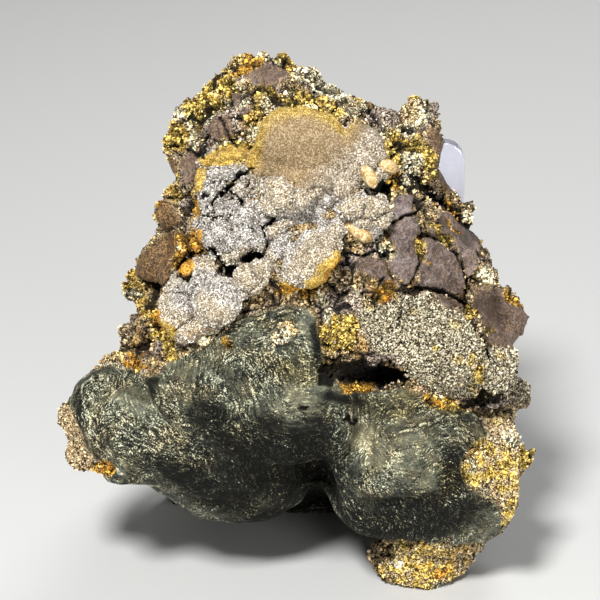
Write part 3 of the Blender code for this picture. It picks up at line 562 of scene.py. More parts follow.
def zone_values(points, normals):
    """How far each point belongs to each zone: drawn shapes on the display side, noise on the others."""
    front = front_share(points, normals)
    back = 1 - front
    seen = seen_at(points)
    places = wander(seen, points, 0.8, 2.6, 3)
    firm = 0.7 * seen + 0.3 * places
    broad, patches, spots = waves(points, 13, 8), waves(points, 6, 9), waves(points, 3.4, 10)
    flecks = waves(points, 4.2, 11)
    height = points[:, 2] + 9 * waves(points, 15, 5) + 7 * patches
    ragged = 0.75 * patches + 0.5 * spots
    zones = {"front": front}
    for name, table in STAINS.items():
        reach = ovals(places, table)
        blurred = smoothstep(-0.9, 0.8, reach + 0.3 * spots)
        zones[name] = front * (blurred if name in TONES else smoothstep(-0.1, 0.4, reach + 0.7 * spots))
    bare_pyrite = 1 - smoothstep(0.4, 0.8, most(zones, "cream", "rust"))
    zones["pyrite"] = front * inside(places, PYRITE, 0.45) * bare_pyrite + back * smoothstep(33, 29, height)
    zones["pale"] = front * inside(places, PALE, 0.7)
    zones["dome"] = front * inside(places, TOP_DOME, 0.7)
    sugared = np.maximum(inside(places, DRUSE, 0.6), smoothstep(0, 0.3, ovals(places, SUGARED)))
    zones["druse"] = front * sugared + back * smoothstep(-0.16, -0.3, broad)
    zones["top"] = front * inside(places, TOP_ROCK, 1.2) + back * smoothstep(0, 0.25, broad)
    plates = [inside(firm, outline, 0.2) for *_, outline in PLATES]
    edge = np.min([distance_to_run(firm, (*outline, outline[0])) for *_, outline in PLATES], axis=0)
    worn = smoothstep(0.5, 0.1, edge + 0.8 * patches + 0.6 * spots)
    stained = np.maximum(most(zones, "mustard", "rust", "cream"), 0.85 * worn)
    lump = smoothstep(0, 0.3, ovals(places, [form[:5] for form in LUMPS]))
    faces = np.maximum(sum(plates).clip(0, 1), lump) * (1 - 0.9 * stained)
    zones["plate"] = front * faces + back * smoothstep(0.34, 0.4, patches) * (1 - zones["druse"])
    brown = sum(shade * share for (shade, *_), share in zip(PLATES, plates)) / np.maximum(sum(plates), 1e-6)
    zones["brown"] = front * np.maximum(brown, lump) + back * 0.6
    bare = 1 - most(zones, "druse", "pale", "dome", "plate", "pyrite")
    lower = 1 - zones["top"]
    yellowed = smoothstep(0.3 * lower - 0.02, 0.25 + 0.25 * lower, ragged)
    zones["mustard"] += bare * (0.85 - 0.25 * lower) * yellowed
    # On sugar, the yellow is broken up by it.
    zones["mustard"] *= 1 - 0.85 * zones["druse"] * smoothstep(-0.05, 0.3, waves(points, 1.7, 14))
    zones["mustard"] += 0.5 * zones["druse"] * smoothstep(0.3, 0.6, flecks)
    zones["cream"] += 0.8 * bare * zones["top"] * smoothstep(0.16, 0.36, flecks)
    zones["tan"] += bare * smoothstep(0.1, 0.35, waves(points, 5.6, 13))
    zones["mauve"] += bare * smoothstep(-0.1, -0.35, ragged)
    zones["rust"] += (0.9 - 0.5 * front) * bare * smoothstep(0.3, 0.5, waves(points, 5, 12))
    zones["fleck"] += back * smoothstep(0.1, 0.4, ragged)
    zones["tarnish"] += 0.5 * back * smoothstep(0, 0.8, -ragged)
    for over, unders in COVERS:
        for under in unders:
            zones[under] = zones[under] * (1 - zones[over])
    zones = {name: np.clip(values, 0, 1) for name, values in zones.items()}
    # How far, in millimetres, each point is from the pyrite's growth lines.
    streaks = [distance_to_run(places, run) for run in FLOW]
    zones["across"] = front * np.min(streaks, axis=0) + back * points[:, 2] * 0.5
    return zones


def cut_depth(points):
    """How deep the cracks and hollows go at each point, measured away from the viewer."""
    places = wander(seen_at(points), points, 0.35, 1.1, 21)
    uneven = 1 + 0.9 * waves(points, 2.6, 23)
    cut = np.zeros(len(points))
    for half_width, depth, run in CRACKS:
        cut = np.maximum(cut, depth * (1 - (distance_to_run(places, run) / (half_width * uneven)) ** 2))
    places = wander(places, points, 1.1, 1.9, 24)
    for *hollow, depth in HOLLOWS:
        cut = np.maximum(cut, depth * np.sqrt(np.maximum(ovals(places, [hollow]), 0)))
    return cut


def fold_height(places):
    """How far the pyrite's folds stand out at each place."""
    height = np.zeros(len(places))
    for half_width, stand, run in FOLDS:
        height += stand * np.exp(-((distance_to_run(places, run) / half_width) ** 2))
    return height


def plate_height(places):
    """How far the smooth broken faces stand out at each place, each face with its own tilt."""
    height = np.zeros(len(places))
    for _, stand, rise_right, rise_up, outline in PLATES:
        offset = places - np.mean(outline, axis=0)
        level = stand + offset @ (rise_right, rise_up)
        height = np.where(inside(places, outline, 0.05) > 0.5, level, height)
    return height


def each_dome(points, domes, uneven=0.5):
    """How far each of some domes stands out at each point."""
    places = wander(seen_at(points), points, uneven, 1.8, 31)
    return [stand * np.maximum(ovals(places, [oval]), 0) ** 0.5 for *oval, stand in domes]


def finely_meshed(points, zones):
    """Where the rock's mesh has to be finer: on the display side, but not under crust or on smooth pyrite."""
    margins = np.array((0, 0, FINE_MARGIN, FINE_MARGIN, 0))
    forms = [np.array(form[:5]) + margins for form in HOLLOWS + BUBBLES]
    shown = (zones["front"] > 0.3) & (points[:, 2] > COARSE_BELOW)
    rough = (zones["pyrite"] < 0.95) | (ovals(seen_at(points), forms) > 0)
    return shown & (most(zones, "pale", "dome") < 0.9) & rough


def rock_mesh(mesh):
    """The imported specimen's skin, made finer on the display side, with its zones and relief."""
    points, normals = skin_of(mesh)
    mesh = refined(mesh, finely_meshed(points, zone_values(points, normals)))
    points, normals = skin_of(mesh)
    zones = zone_values(points, normals)
    places = seen_at(points)
    pyrite, plate, druse = zones["pyrite"], zones["plate"], zones["druse"]
    large, large_edge = blocks(points, LARGE_BLOCK, 1)
    small, small_edge = blocks(points, SMALL_BLOCK, 2)
    fine = grains(points, GRAIN, 2)
    craggy = (1 - pyrite) * (1 - plate)
    grainy = craggy * (1 - 0.6 * zones["front"] * most(zones, "tan", "mauve"))
    relief = craggy * (1 - 0.85 * druse) * (1.4 * large + 0.7 * small)
    relief += grainy * ((0.4 - 0.2 * druse) * fine + 0.12 * waves(points, 0.8, 3))
    relief += plate * (0.25 * large + 0.05 * waves(points, 1.5, 4))
    ripples = 0.35 * waves(points, 6, 4) + 0.14 * waves(points, 2.2, 5) + 0.06 * waves(points, 0.9, 6)
    bubbles = np.max(each_dome(points, BUBBLES, 0.2), axis=0)
    lumps = np.max(each_dome(points, LUMPS, 0.3), axis=0)
    relief += pyrite * (ripples + zones["front"] * (fold_height(places) + bubbles))
    relief += zones["front"] * (plate_height(places) + lumps)
    gaps = craggy * np.maximum(smoothstep(0.13, 0.02, large_edge), 0.75 * smoothstep(0.13, 0, small_edge))
    relief -= GAP_DEPTH * gaps * (1 - 0.85 * druse)
    points += normals * relief[:, None]
    cut = cut_depth(points) * zones["front"]
    points -= TOWARD * cut[:, None]
    points[:, 2] = np.where(points[:, 2] < FLOOR_SNAP, 0, points[:, 2])
    mesh.vertices.foreach_set("co", points.astype(np.float32).ravel())
    mesh.update()
    # Painted shade: the gaps between blocks, the pits between grains and the cut cracks and hollows are marked
    # "hollow", for near-black colour.
    pits = grainy * smoothstep(-0.08, -0.36, fine)
    zones["hollow"] = np.clip((gaps + 0.8 * pits) * (1 - 0.8 * druse) + smoothstep(0.1, 0.8, cut), 0, 1)
    return mesh, zones


# ---------------------------------------------------------------- the pale crust
# How deep the shell's underside lies in the rock, and how deep its edge is buried.
SHELL_DEPTH, EDGE_DEPTH = 2.2, 1.2
# The middle of the top dome, and the direction in which it turns ochre.
DOME_MIDDLE, TO_OCHRE = (4, 30), (-0.75, 0.66)
# The zones that the crust's material reads.
CRUST_VALUES = ("dome", "rust", "mustard", "tan", "low", "hollow", "warm", "cool")


def crust_height(points):
    """How far the crust's domes stand out at each point, and the creases between neighbouring small ones."""
    heights = each_dome(points, DOMES)
    second, first = np.sort(heights, axis=0)[-2:]
    creases = smoothstep(0.5, 0.1, first - second) * smoothstep(1.3, 1.8, second)
    swell = sum(height**3 for height in each_dome(points, TOP_SWELLS)) ** (1 / 3)
    return np.maximum(first, swell), creases


def closed_shell(faces, top, bottom):
    """A closed mesh from a patch of skin: its points moved to top, the same moved to bottom, and a wall.

    Also gives the number of each of its points in the skin."""
    used = np.unique(faces)
    index = np.full(len(top), -1)
    index[used] = np.arange(len(used))
    faces = index[faces]
    count = len(used)
    sides = np.concatenate([faces[:, [i, (i + 1) % 4]] for i in range(4)])
    keys = sides[:, 0] * count + sides[:, 1]
    lone = sides[~np.isin(keys, sides[:, 1] * count + sides[:, 0])]
    walls = np.stack([lone[:, 1], lone[:, 0], lone[:, 0] + count, lone[:, 1] + count], axis=1)
    every = np.concatenate([faces, faces[:, ::-1] + count, walls])
    return mesh_from(np.concatenate([top[used], bottom[used]]), every), np.tile(used, 2)


def crust_mesh(smooth_skin):
    """The shell of pale domes, its edge buried in the rock, and its zones."""
    mesh = smooth_skin.copy()
    zones = zone_values(*skin_of(mesh))
    mesh = refined(mesh, most(zones, "pale", "dome") * zones["front"] > 0.01)
    points, normals = skin_of(mesh)
    zones = zone_values(points, normals)
    places = seen_at(points)
    cover = most(zones, "pale", "dome") * zones["front"]
    quads = np.array([tuple(p.vertices) for p in mesh.polygons if len(p.vertices) == 4])
    quads = quads[(cover[quads] > 0.02).any(axis=1)]
    height, creases = crust_height(points)
    knobby, lumps, specks = grains(points, 3, 5), grains(points, 1.5, 6), grains(points, 0.8, 7)
    pitted = smoothstep(-6, -9, places[:, 0]) * smoothstep(8, 11, places[:, 1]) * (1 - zones["mustard"])
    shards, shard_edge = blocks(points, 2.6, 61)
    splits = pitted * smoothstep(0.09, 0.03, shard_edge) * smoothstep(0.05, 0.25, waves(points, 3.5, 62))
    pits = pitted * smoothstep(0.36, 0.5, waves(points, 0.8, 36))
    fine = 1 - 0.85 * zones["dome"]
    rounded = (1 - 0.75 * pitted) * (0.8 * knobby + 0.45 * lumps)
    swell = 1.15 * height + 0.25 + fine * (rounded + 0.34 * specks + 0.25 * pitted * shards)
    crease = fine * creases
    cut = np.maximum.reduce([cut_depth(points), 0.9 * pits, 1.1 * splits, 0.6 * crease])
    rise = cover * swell - (1 - cover) * EDGE_DEPTH
    top = points + (0.75 * normals + 0.25 * TOWARD) * rise[:, None] - TOWARD * cut[:, None]
    bottom = points - normals * SHELL_DEPTH - TOWARD * cut[:, None]
    shell, used = closed_shell(quads, top, bottom)
    # Painted shade: the gaps between lumps and knobs, the foot of each dome and the creases between domes are
    # marked "low" and darkened in the crust's colour.
    low = 0.4 * smoothstep(-0.02, -0.3, lumps) + 0.3 * smoothstep(-0.05, -0.4, knobby)
    dome_foot_shade = smoothstep(0, 0.25, height) * smoothstep(0.9, 0.45, height)
    zones["low"] = fine * (low + 0.45 * dome_foot_shade + 0.6 * crease)
    # Painted shade: the crust's cuts are marked "hollow", for near-black colour.
    zones["hollow"] = smoothstep(0.3, 1.1, cut)
    uphill = (places - np.array(DOME_MIDDLE)) @ TO_OCHRE + 1.2 * waves(points, 3, 34)
    rim = smoothstep(4.2, 0.8, distance_to_run(places, OCHRE_RIM) + 0.8 * waves(points, 2.4, 35))
    zones["warm"] = (0.5 * smoothstep(-7, 2, uphill) + 0.5 * rim) * zones["dome"]
    # Grey rather than cream in broad patches, on the pitted sheet and, as painted shade, where the crust lies
    # low between its domes.
    cool = smoothstep(-0.1, 0.3, waves(points, 7, 33) + 0.3 * pitted + 0.3 * smoothstep(0.5, 0.1, height))
    zones["cool"] = cool * (1 - 0.9 * zones["buff"])
    return shell, {name: np.clip(zones[name][used], 0, 1) for name in CRUST_VALUES}


# ---------------------------------------------------------------- crystals
# The six tips of a crystal of size 1, and the eight faces between them.
TIPS = np.array([(1, 0, 0), (-1, 0, 0), (0, 1, 0), (0, -1, 0), (0, 0, 1), (0, 0, -1)]) * 0.62
FACETS = np.array([(0, 2, 4), (2, 1, 4), (1, 3, 4), (3, 0, 4), (2, 0, 5), (1, 2, 5), (3, 1, 5), (0, 3, 5)])
# How much of a crystal is sunk in the skin, its smallest and largest size for its family, and how uneven
# its tips and its three widths are.
SINK = 0.3
SIZE_RANGE = (0.4, 2.6)
UNEVEN_TIPS, UNEVEN_WIDTHS = 0.2, 0.35


def random_turns(random, count):
    """Rotation matrices, evenly spread over all rotations."""
    turns = random.normal(size=(count, 4))
    w, x, y, z = turns.T / np.linalg.norm(turns, axis=1)
    rows = (
        (1 - 2 * (y * y + z * z), 2 * (x * y - z * w), 2 * (x * z + y * w)),
        (2 * (x * y + z * w), 1 - 2 * (x * x + z * z), 2 * (y * z - x * w)),
        (2 * (x * z - y * w), 2 * (y * z + x * w), 1 - 2 * (x * x + y * y)),
    )
    return np.array(rows).transpose(2, 0, 1)


def crystals_on(mesh, zones, weight, count, size, spread, seed):
    """Blocky crystals that stand on a skin, more where its weight is high, each with its own tint."""
    random = np.random.default_rng(seed)
    points, corners = read_points(mesh), triangles_of(mesh)
    a, b, c = points[corners[:, 0]], points[corners[:, 1]], points[corners[:, 2]]
    across = np.cross(b - a, c - a)
    area = np.linalg.norm(across, axis=1)
    chance = area * weight[corners].mean(axis=1)
    picked = random.choice(len(corners), size=count, p=chance / chance.sum())
    u, v = random.random((2, count))
    u, v = np.where(u + v > 1, 1 - u, u), np.where(u + v > 1, 1 - v, v)
    out = across[picked] / np.maximum(area[picked], 1e-9)[:, None]
    place = a[picked] + u[:, None] * (b - a)[picked] + v[:, None] * (c - a)[picked]
    sizes = size * np.exp(spread * random.normal(size=count)).clip(*SIZE_RANGE)
    centre = place + out * (sizes * (0.5 - SINK))[:, None]
    shape = TIPS[None] * (1 + UNEVEN_TIPS * random.normal(size=(count, 6, 1)))
    shape = shape * (1 + UNEVEN_WIDTHS * random.uniform(-1, 1, size=(count, 1, 3)))
    turned = np.einsum("nij,nkj->nki", random_turns(random, count), shape * sizes[:, None, None])
    every = (centre[:, None] + turned).reshape(-1, 3)
    every[:, 2] = np.maximum(every[:, 2], 0)
    faces = (FACETS[None] + 6 * np.arange(count)[:, None, None]).reshape(-1, 3)
    grown = mesh_from(every, faces)
    write_values(grown, "tint", np.repeat(random.random(count), 6))
    for name, values in zones.items():
        write_values(grown, name, np.repeat(values[corners[picked, 0]], 6))
    return grown


def knobs_on(skins):
    """Rods of cream crust, each where the line of sight to its place meets the skins."""
    trees = []
    for mesh in skins:
        corners = [tuple(p.vertices) for p in mesh.polygons]
        trees.append(BVHTree.FromPolygons([v.co for v in mesh.vertices], corners))
    bm = bmesh.new()
    for right, up, half_length, half_width, roll, out in KNOBS:
        ray = Vector(line_of_sight(right, up))
        hits = [hit for tree in trees if (hit := tree.ray_cast(Vector(EYE), ray))[0] is not None]
        centre = min(hits, key=lambda hit: hit[3])[0] + out * Vector(TOWARD)
        along = math.cos(math.radians(roll)) * Vector(RIGHT) + math.sin(math.radians(roll)) * Vector(UP)
        across = Vector(TOWARD).cross(along)
        turn = Matrix((along, across, Vector(TOWARD))).transposed().to_4x4()
        matrix = Matrix.Translation(centre) @ turn @ Matrix.Diagonal((half_length, half_width, half_width, 1))
        for vert in bmesh.ops.create_icosphere(bm, subdivisions=4, radius=1, matrix=matrix)["verts"]:
            lump = 0.13 * noise.noise(vert.co / 1.7) + 0.14 * (0.5 - noise.voronoi(vert.co / 0.6)[0][0])
            vert.co = centre + (vert.co - centre) * (1 + lump)
    mesh = bpy.data.meshes.new("knobs")
    bm.to_mesh(mesh)
    bm.free()
    return mesh


# ---------------------------------------------------------------- materials
class Shader:
    """A material's node tree, built by short calls.

    A value is a socket to link, the name of a zone to read from the mesh, or a constant."""

    def __init__(self, name):
        self.material = bpy.data.materials.new(name)
        self.material.use_nodes = True
        self.tree = self.material.node_tree
        self.surface = self.tree.nodes["Principled BSDF"]
        self.place = self.add("ShaderNodeTexCoord").outputs["Object"]

    def add(self, kind, values=(), **settings):
        node = self.tree.nodes.new(kind)
        for setting, value in settings.items():
            setattr(node, setting, value)
        for key, value in dict(values).items():
            self.put(node.inputs[key], value)
        return node

    def put(self, socket, value):
        if isinstance(value, str):
            value = self.add("ShaderNodeAttribute", attribute_name=value).outputs["Fac"]
        if isinstance(value, bpy.types.NodeSocket):
            self.tree.links.new(value, socket)
        elif isinstance(value, tuple) and len(value) == 3 and socket.type == "RGBA":
            socket.default_value = (*value, 1)
        else:
            socket.default_value = value

    def finish_with(self, **values):
        for name, value in values.items():
            self.put(self.surface.inputs[name.replace("_", " ")], value)
        return self.material

    def noise(self, size, detail=3, roughness=0.55, place=None):
        """Noise whose features are size millimetres across."""
        values = {"Vector": place or self.place, "Scale": 1 / (size * MM)}
        values.update({"Detail": detail, "Roughness": roughness})
        return self.add("ShaderNodeTexNoise", values).outputs["Fac"]

    def stretched(self, turn, ratios):
        """The object's places, turned and scaled, for streaks."""
        values = {"Vector": self.place, "Rotation": turn, "Scale": ratios}
        return self.add("ShaderNodeMapping", values).outputs["Vector"]

    def along_flow(self, width, length):
        """Places for noise one unit in size, which make it streaks along the growth lines."""
        parts = self.add("ShaderNodeSeparateXYZ", {"Vector": self.place})
        values = {
            "X": self.times("across", 1 / width),
            "Y": self.times(parts.outputs["X"], 1 / (length * MM)),
            "Z": self.times(parts.outputs["Z"], 1 / (length * MM)),
        }
        return self.add("ShaderNodeCombineXYZ", values).outputs["Vector"]

    def ramp(self, factor, *stops):
        node = self.add("ShaderNodeValToRGB", {"Fac": factor})
        elements = node.color_ramp.elements
        while len(elements) < len(stops):
            elements.new(0.5)
        for element, (position, colour) in zip(elements, stops):
            element.position = position
            element.color = (*colour, 1) if isinstance(colour, tuple) else (colour, colour, colour, 1)
        return node.outputs["Color"]

    def shades(self, light, spread, dark, middle, bright):
        """A ramp whose middle colour is at 0.5, and its dark and bright ones spread to each side of it."""
        return self.ramp(light, (0.5 - spread, dark), (0.5, middle), (0.5 + spread, bright))

    def mix(self, factor, first, second, blend="MIX"):
        node = self.add("ShaderNodeMix", data_type="RGBA", blend_type=blend)
        for socket, value in ((node.inputs[0], factor), (node.inputs[6], first), (node.inputs[7], second)):
            self.put(socket, value)
        return node.outputs[2]

    def math(self, operation, *operands):
        node = self.add("ShaderNodeMath", operation=operation)
        for socket, value in zip(node.inputs, operands):
            self.put(socket, value)
        return node.outputs[0]

    def times(self, value, factor):
        return self.math("MULTIPLY", value, factor)

    def scaled(self, value, factor, rest):
        """A value times a factor, plus the rest."""
        return self.math("MULTIPLY_ADD", value, factor, rest)

    def bump(self, height, distance, strength):
        values = {"Height": height, "Distance": distance * MM, "Strength": strength}
        return self.add("ShaderNodeBump", values).outputs["Normal"]


# Each of the rock's crusts, from its dark grains through its middle colour to its bright grains.
PALETTE = {
    "limonite": ((0.012, 0.007, 0.003), (0.44, 0.27, 0.092), (0.97, 0.75, 0.39)),
    "druse": ((0.024, 0.016, 0.007), (0.235, 0.176, 0.09), (0.93, 0.85, 0.62)),
    "mauve": ((0.014, 0.009, 0.007), (0.37, 0.262, 0.19), (0.88, 0.74, 0.6)),
    "tan": ((0.026, 0.014, 0.005), (0.385, 0.243, 0.105), (0.92, 0.74, 0.45)),
    "mustard": ((0.04, 0.018, 0.002), (0.51, 0.3, 0.027), (0.93, 0.72, 0.2)),
    "cream": ((0.05, 0.033, 0.014), (0.63, 0.505, 0.25), (1, 0.97, 0.73)),
    "rust": ((0.07, 0.02, 0.002), (0.62, 0.26, 0.016), (0.98, 0.62, 0.1)),
}
PALETTE_SPREAD = 0.32
# The same for the pale crust, after how far its dark and bright grains are spread.
CRUST_PALETTE = {
    "grey": (0.38, (0.05, 0.042, 0.036), (0.28, 0.248, 0.216), (0.92, 0.89, 0.84)),
    "cream": (0.38, (0.1, 0.064, 0.028), (0.38, 0.282, 0.165), (0.98, 0.9, 0.7)),
    "tan": (0.35, (0.17, 0.108, 0.05), (0.275, 0.186, 0.088), (0.52, 0.4, 0.24)),
    "ochre": (0.35, (0.22, 0.105, 0.01), (0.375, 0.236, 0.034), (0.76, 0.6, 0.18)),
    "mustard": (0.35, (0.3, 0.15, 0.01), (0.53, 0.315, 0.034), (0.95, 0.74, 0.24)),
    "rust": (0.3, (0.2, 0.065, 0.005), (0.58, 0.24, 0.018), (0.92, 0.56, 0.09)),
}
# The pyrite's colours by its tone: black, olive, and pale brassy flecks.
PYRITE_TONES = (
    (0.02, (0.004, 0.004, 0.003)), (0.28, (0.029, 0.03, 0.022)), (0.48, (0.083, 0.084, 0.062)),
    (0.68, (0.168, 0.165, 0.117)), (0.83, (0.48, 0.46, 0.32)), (1, (0.98, 0.96, 0.76)),
)
# Painted shade: the near-black colour of the depths of cracks, hollows, gaps and pits.
HOLLOW_SHADE = (0.004, 0.003, 0.002)


def limonite_colour(s, light):
    """The rock's colour where it isn't pyrite or plate, for grains from dark to bright."""
    colour = None
    for name, colours in PALETTE.items():
        shade = s.shades(light, PALETTE_SPREAD, *colours)
        colour = shade if colour is None else s.mix(name, colour, shade)
    return colour


def plate_colour(s, light, worn):
    """Slate or brown rock, with pale scuffs, dark pits, orange specks, and on slate, pale veins."""
    patch = s.noise(4, 4, 0.6)
    slate = s.shades(patch, 0.2, (0.045, 0.033, 0.032), (0.112, 0.082, 0.076), (0.25, 0.198, 0.182))
    dark, middle, bright = (0.022, 0.011, 0.004), (0.088, 0.045, 0.015), (0.35, 0.205, 0.075)
    brown = s.ramp(light, (0.1, dark), (0.5, middle), (0.95, bright))
    plate = s.mix("brown", slate, brown)
    scuffed = s.mix("brown", (0.4, 0.315, 0.245), (0.34, 0.195, 0.072))
    plate = s.mix(s.ramp(worn, (0.53, 0), (0.66, 0.85)), plate, scuffed)
    plate = s.mix(s.ramp(worn, (0.34, 0.9), (0.47, 0)), plate, (0.018, 0.012, 0.009))
    plate = s.mix(s.ramp(s.noise(0.7, 2, 0.6), (0.68, 0), (0.74, 0.9)), plate, (0.42, 0.22, 0.05))
    veins = s.math("ABSOLUTE", s.math("SUBTRACT", s.noise(3.4, 2, 0.5), 0.5))
    veined = s.mix("brown", s.ramp(veins, (0, 0.6), (0.018, 0)), (0, 0, 0))
    return s.mix(veined, plate, (0.38, 0.32, 0.3))


def pyrite_colour(s):
    """Grey-green pyrite from black through olive to pale brassy flecks, streaked along its growth lines.

    Also gives the tone, which is the height of its fine relief too."""
    streak = s.noise(1 / MM, 3, 0.6, s.along_flow(0.32, 1.4))
    grain, broad = s.noise(0.3, 3, 0.6), s.noise(3.6, 5, 0.7)
    tone = s.scaled(streak, 2.3, s.scaled(grain, 2.8, -2.53))
    crowding = s.scaled("slate", -0.12, s.scaled("fleck", 0.22, s.noise(3, 4, 0.65)))
    tone = s.times(tone, s.ramp(crowding, (0.36, 0.3), (0.6, 1.25)))
    tone = s.scaled("slate", 0.11, tone)
    tone = s.scaled(broad, 1, s.math("SUBTRACT", tone, 0.03))
    # Each growth line is a bright edge with a dark groove beside it: partly the pyrite's own growth lines,
    # partly a painted highlight on the ridge and painted shade in the groove.
    nearness = s.times("across", 0.5)
    line = s.ramp(nearness, (0, 0.66), (0.12, 0.36), (0.26, 0.2), (0.6, 0.36))
    # Tarnish darkens the pyrite nearly black, partly painted shade in the valley under its nose and on its
    # lower parts.
    tone = s.scaled("tarnish", -0.48, s.math("ADD", tone, s.math("SUBTRACT", line, 0.36)))
    tint = s.ramp(s.noise(5.5, 3, 0.6), (0.42, (0.96, 1, 0.95)), (0.6, (1, 0.91, 0.74)))
    tint = s.mix(s.times("mustard", 0.45), tint, (1, 0.84, 0.42))
    return s.mix(1, s.ramp(tone, *PYRITE_TONES), tint, "MULTIPLY"), tone


def rock_material():
    """Brown limonite under yellow, cream and rust crusts, with cracked plates and dark metallic pyrite."""
    s = Shader("rock")
    small, speckle, worn = s.noise(1.2, 4, 0.7), s.noise(0.36, 2, 0.7), s.noise(0.5, 5, 0.8)
    light = s.scaled(speckle, 4, s.scaled(small, 1.6, -2.3))
    pyrite, tone = pyrite_colour(s)
    colour = s.mix("plate", limonite_colour(s, light), plate_colour(s, light, worn))
    colour = s.mix("pyrite", colour, pyrite)
    # Painted shade: near black in the cracks, hollows, gaps and pits.
    colour = s.mix(s.times("hollow", 0.96), colour, HOLLOW_SHADE)
    metal = s.times("pyrite", 0.3)
    matt = s.mix("plate", (0.8,) * 3, (0.45,) * 3)
    rough = s.mix("pyrite", matt, s.ramp(tone, (0.45, 0.6), (0.85, 0.38)))
    rough = s.mix(s.math("MAXIMUM", "hollow", "tarnish"), rough, (1, 1, 1))
    relief = s.mix("plate", light, s.times(worn, 0.8))
    relief = s.mix("pyrite", relief, s.times(tone, 0.7))
    normal = s.bump(relief, 0.32, 1)
    return s.finish_with(
        Base_Color=colour, Metallic=metal, Roughness=rough, Specular_IOR_Level=0.3, Normal=normal
    )


def crust_material():
    """Pale drusy crust: cream and grey, tan and ochre on the top dome, with painted shade in its creases."""
    s = Shader("pale_crust")
    speckle, small = s.noise(0.32, 3, 0.75), s.noise(1.3, 3, 0.6)
    light = s.scaled(speckle, 3.6, s.scaled(small, 0.8, -1.7))
    shades = {name: s.shades(light, *row) for name, row in CRUST_PALETTE.items()}
    dome = s.mix(0.5, shades["grey"], shades["cream"])
    dome = s.mix(s.ramp("warm", (0.02, 0.25), (0.4, 1)), dome, shades["tan"])
    dome = s.mix(s.ramp("warm", (0.55, 0), (0.95, 0.95)), dome, shades["ochre"])
    colour = s.mix("cool", shades["cream"], shades["grey"])
    colour = s.mix("tan", colour, shades["tan"])
    patchy = s.scaled(small, 2, s.scaled(speckle, 1, -1.5))
    for stain in ("mustard", "rust"):
        stained = s.ramp(s.math("ADD", stain, patchy), (0.35, 0), (0.85, 1))
        colour = s.mix(stained, colour, shades[stain])
    colour = s.mix("dome", colour, dome)
    # Painted shade: dark brown in the creases between domes, the gaps between lumps and round the foot of each
    # dome.
    colour = s.mix(s.times("low", 0.75), colour, (0.045, 0.028, 0.015))
    # Painted shade: near black in the crust's cracks and pits.
    colour = s.mix(s.times("hollow", 0.98), colour, HOLLOW_SHADE)
    rough = s.mix("hollow", (0.55,) * 3, (1, 1, 1))
    normal = s.bump(light, 0.14, 0.8)
    return s.finish_with(Base_Color=colour, Roughness=rough, Specular_IOR_Level=0.3, Normal=normal)


def knob_material():
    """Smooth waxy cream, mottled with ochre."""
    s = Shader("cream_knobs")
    patch, speckle = s.noise(1, 4, 0.65), s.noise(0.4, 3, 0.7)
    light = s.scaled(speckle, 1, s.scaled(patch, 1.6, -0.84))
    colour = s.shades(light, 0.2, (0.34, 0.195, 0.06), (0.56, 0.4, 0.19), (0.82, 0.7, 0.44))
    normal = s.bump(speckle, 0.16, 0.9)
    return s.finish_with(Base_Color=colour, Roughness=0.5, Specular_IOR_Level=0.3, Normal=normal)


def crystal_material(name, colour_of, roughness=0.34):
    """Small crystals, each a little lighter or darker than the crust it stands on."""
    s = Shader(name)
    light = s.scaled("tint", 1.3, s.scaled(s.noise(1.4), 1, -0.58))
    return s.finish_with(Base_Color=colour_of(s, light), Roughness=roughness)


def crust_crystal_colour(s, light):
    return s.ramp(light, (0.2, (0.24, 0.19, 0.14)), (0.55, (0.54, 0.475, 0.375)), (0.9, (0.97, 0.95, 0.88)))


def clear_plastic():
    """Polished clear acrylic with a faint cool haze, and hairline scuffs."""
    s = Shader("clear_plastic")
    scuffs = s.ramp(s.noise(2.5, 6, 0.75, s.stretched((0, 0.5, 0), (1, 1, 6))), (0.5, 0.03), (0.75, 0.16))
    normal = s.bump(s.noise(9, 1), 0.05, 0.2)
    return s.finish_with(
        Base_Color=(0.86, 0.86, 0.97), Roughness=scuffs, IOR=1.49, Transmission_Weight=0.8, Normal=normal
    )


# ---------------------------------------------------------------- the specimen
# Families of crystals on the rock: name, how many, mean size, spread of sizes, seed.
FAMILIES = (
    ("yellow_crystals", 24500, 0.27, 0.45, 51),
    ("sugar_druse", 24500, 0.21, 0.38, 52),
    ("brown_grains", 11000, 0.3, 0.45, 53),
    ("pale_specks", 2400, 0.22, 0.45, 55),
)
# The crust's own crystals: how many, mean size, spread of sizes, seed.
CRUST_CRYSTALS = (14000, 0.18, 0.35, 54)
# No crystal grows on the rock lower than this.
BARE_BELOW = 0.8
# The rock's mesh is parted at two planes, behind the display side and above the pyrite.
BACK_SEAM, TOP_SEAM = (0, 10, 0), (0, 0, 58)


def family_weights(points, zones):
    """How thickly each family of crystals grows at each point of the rock."""
    clear = (1 - zones["hollow"]) ** 2 * (points[:, 2] > BARE_BELOW)
    uncrusted = 1 - most(zones, "pale", "dome") * zones["front"]
    dry = (1 - zones["pyrite"]) ** 3 * (1 - zones["plate"]) ** 2 * uncrusted * clear
    clumps = smoothstep(-0.1, 0.2, waves(points, 2.2, 41))
    plain = (1 - zones["mustard"]) * (1 - zones["druse"]) * (1 - 0.7 * zones["mauve"])
    return {
        "yellow_crystals": dry * most(zones, "mustard", "cream") * (0.2 + 0.8 * clumps),
        "sugar_druse": dry * zones["druse"],
        "brown_grains": dry * plain * clumps,
        "pale_specks": zones["cream"] * zones["pyrite"] * zones["front"] * clear * (0.1 + clumps),
    }


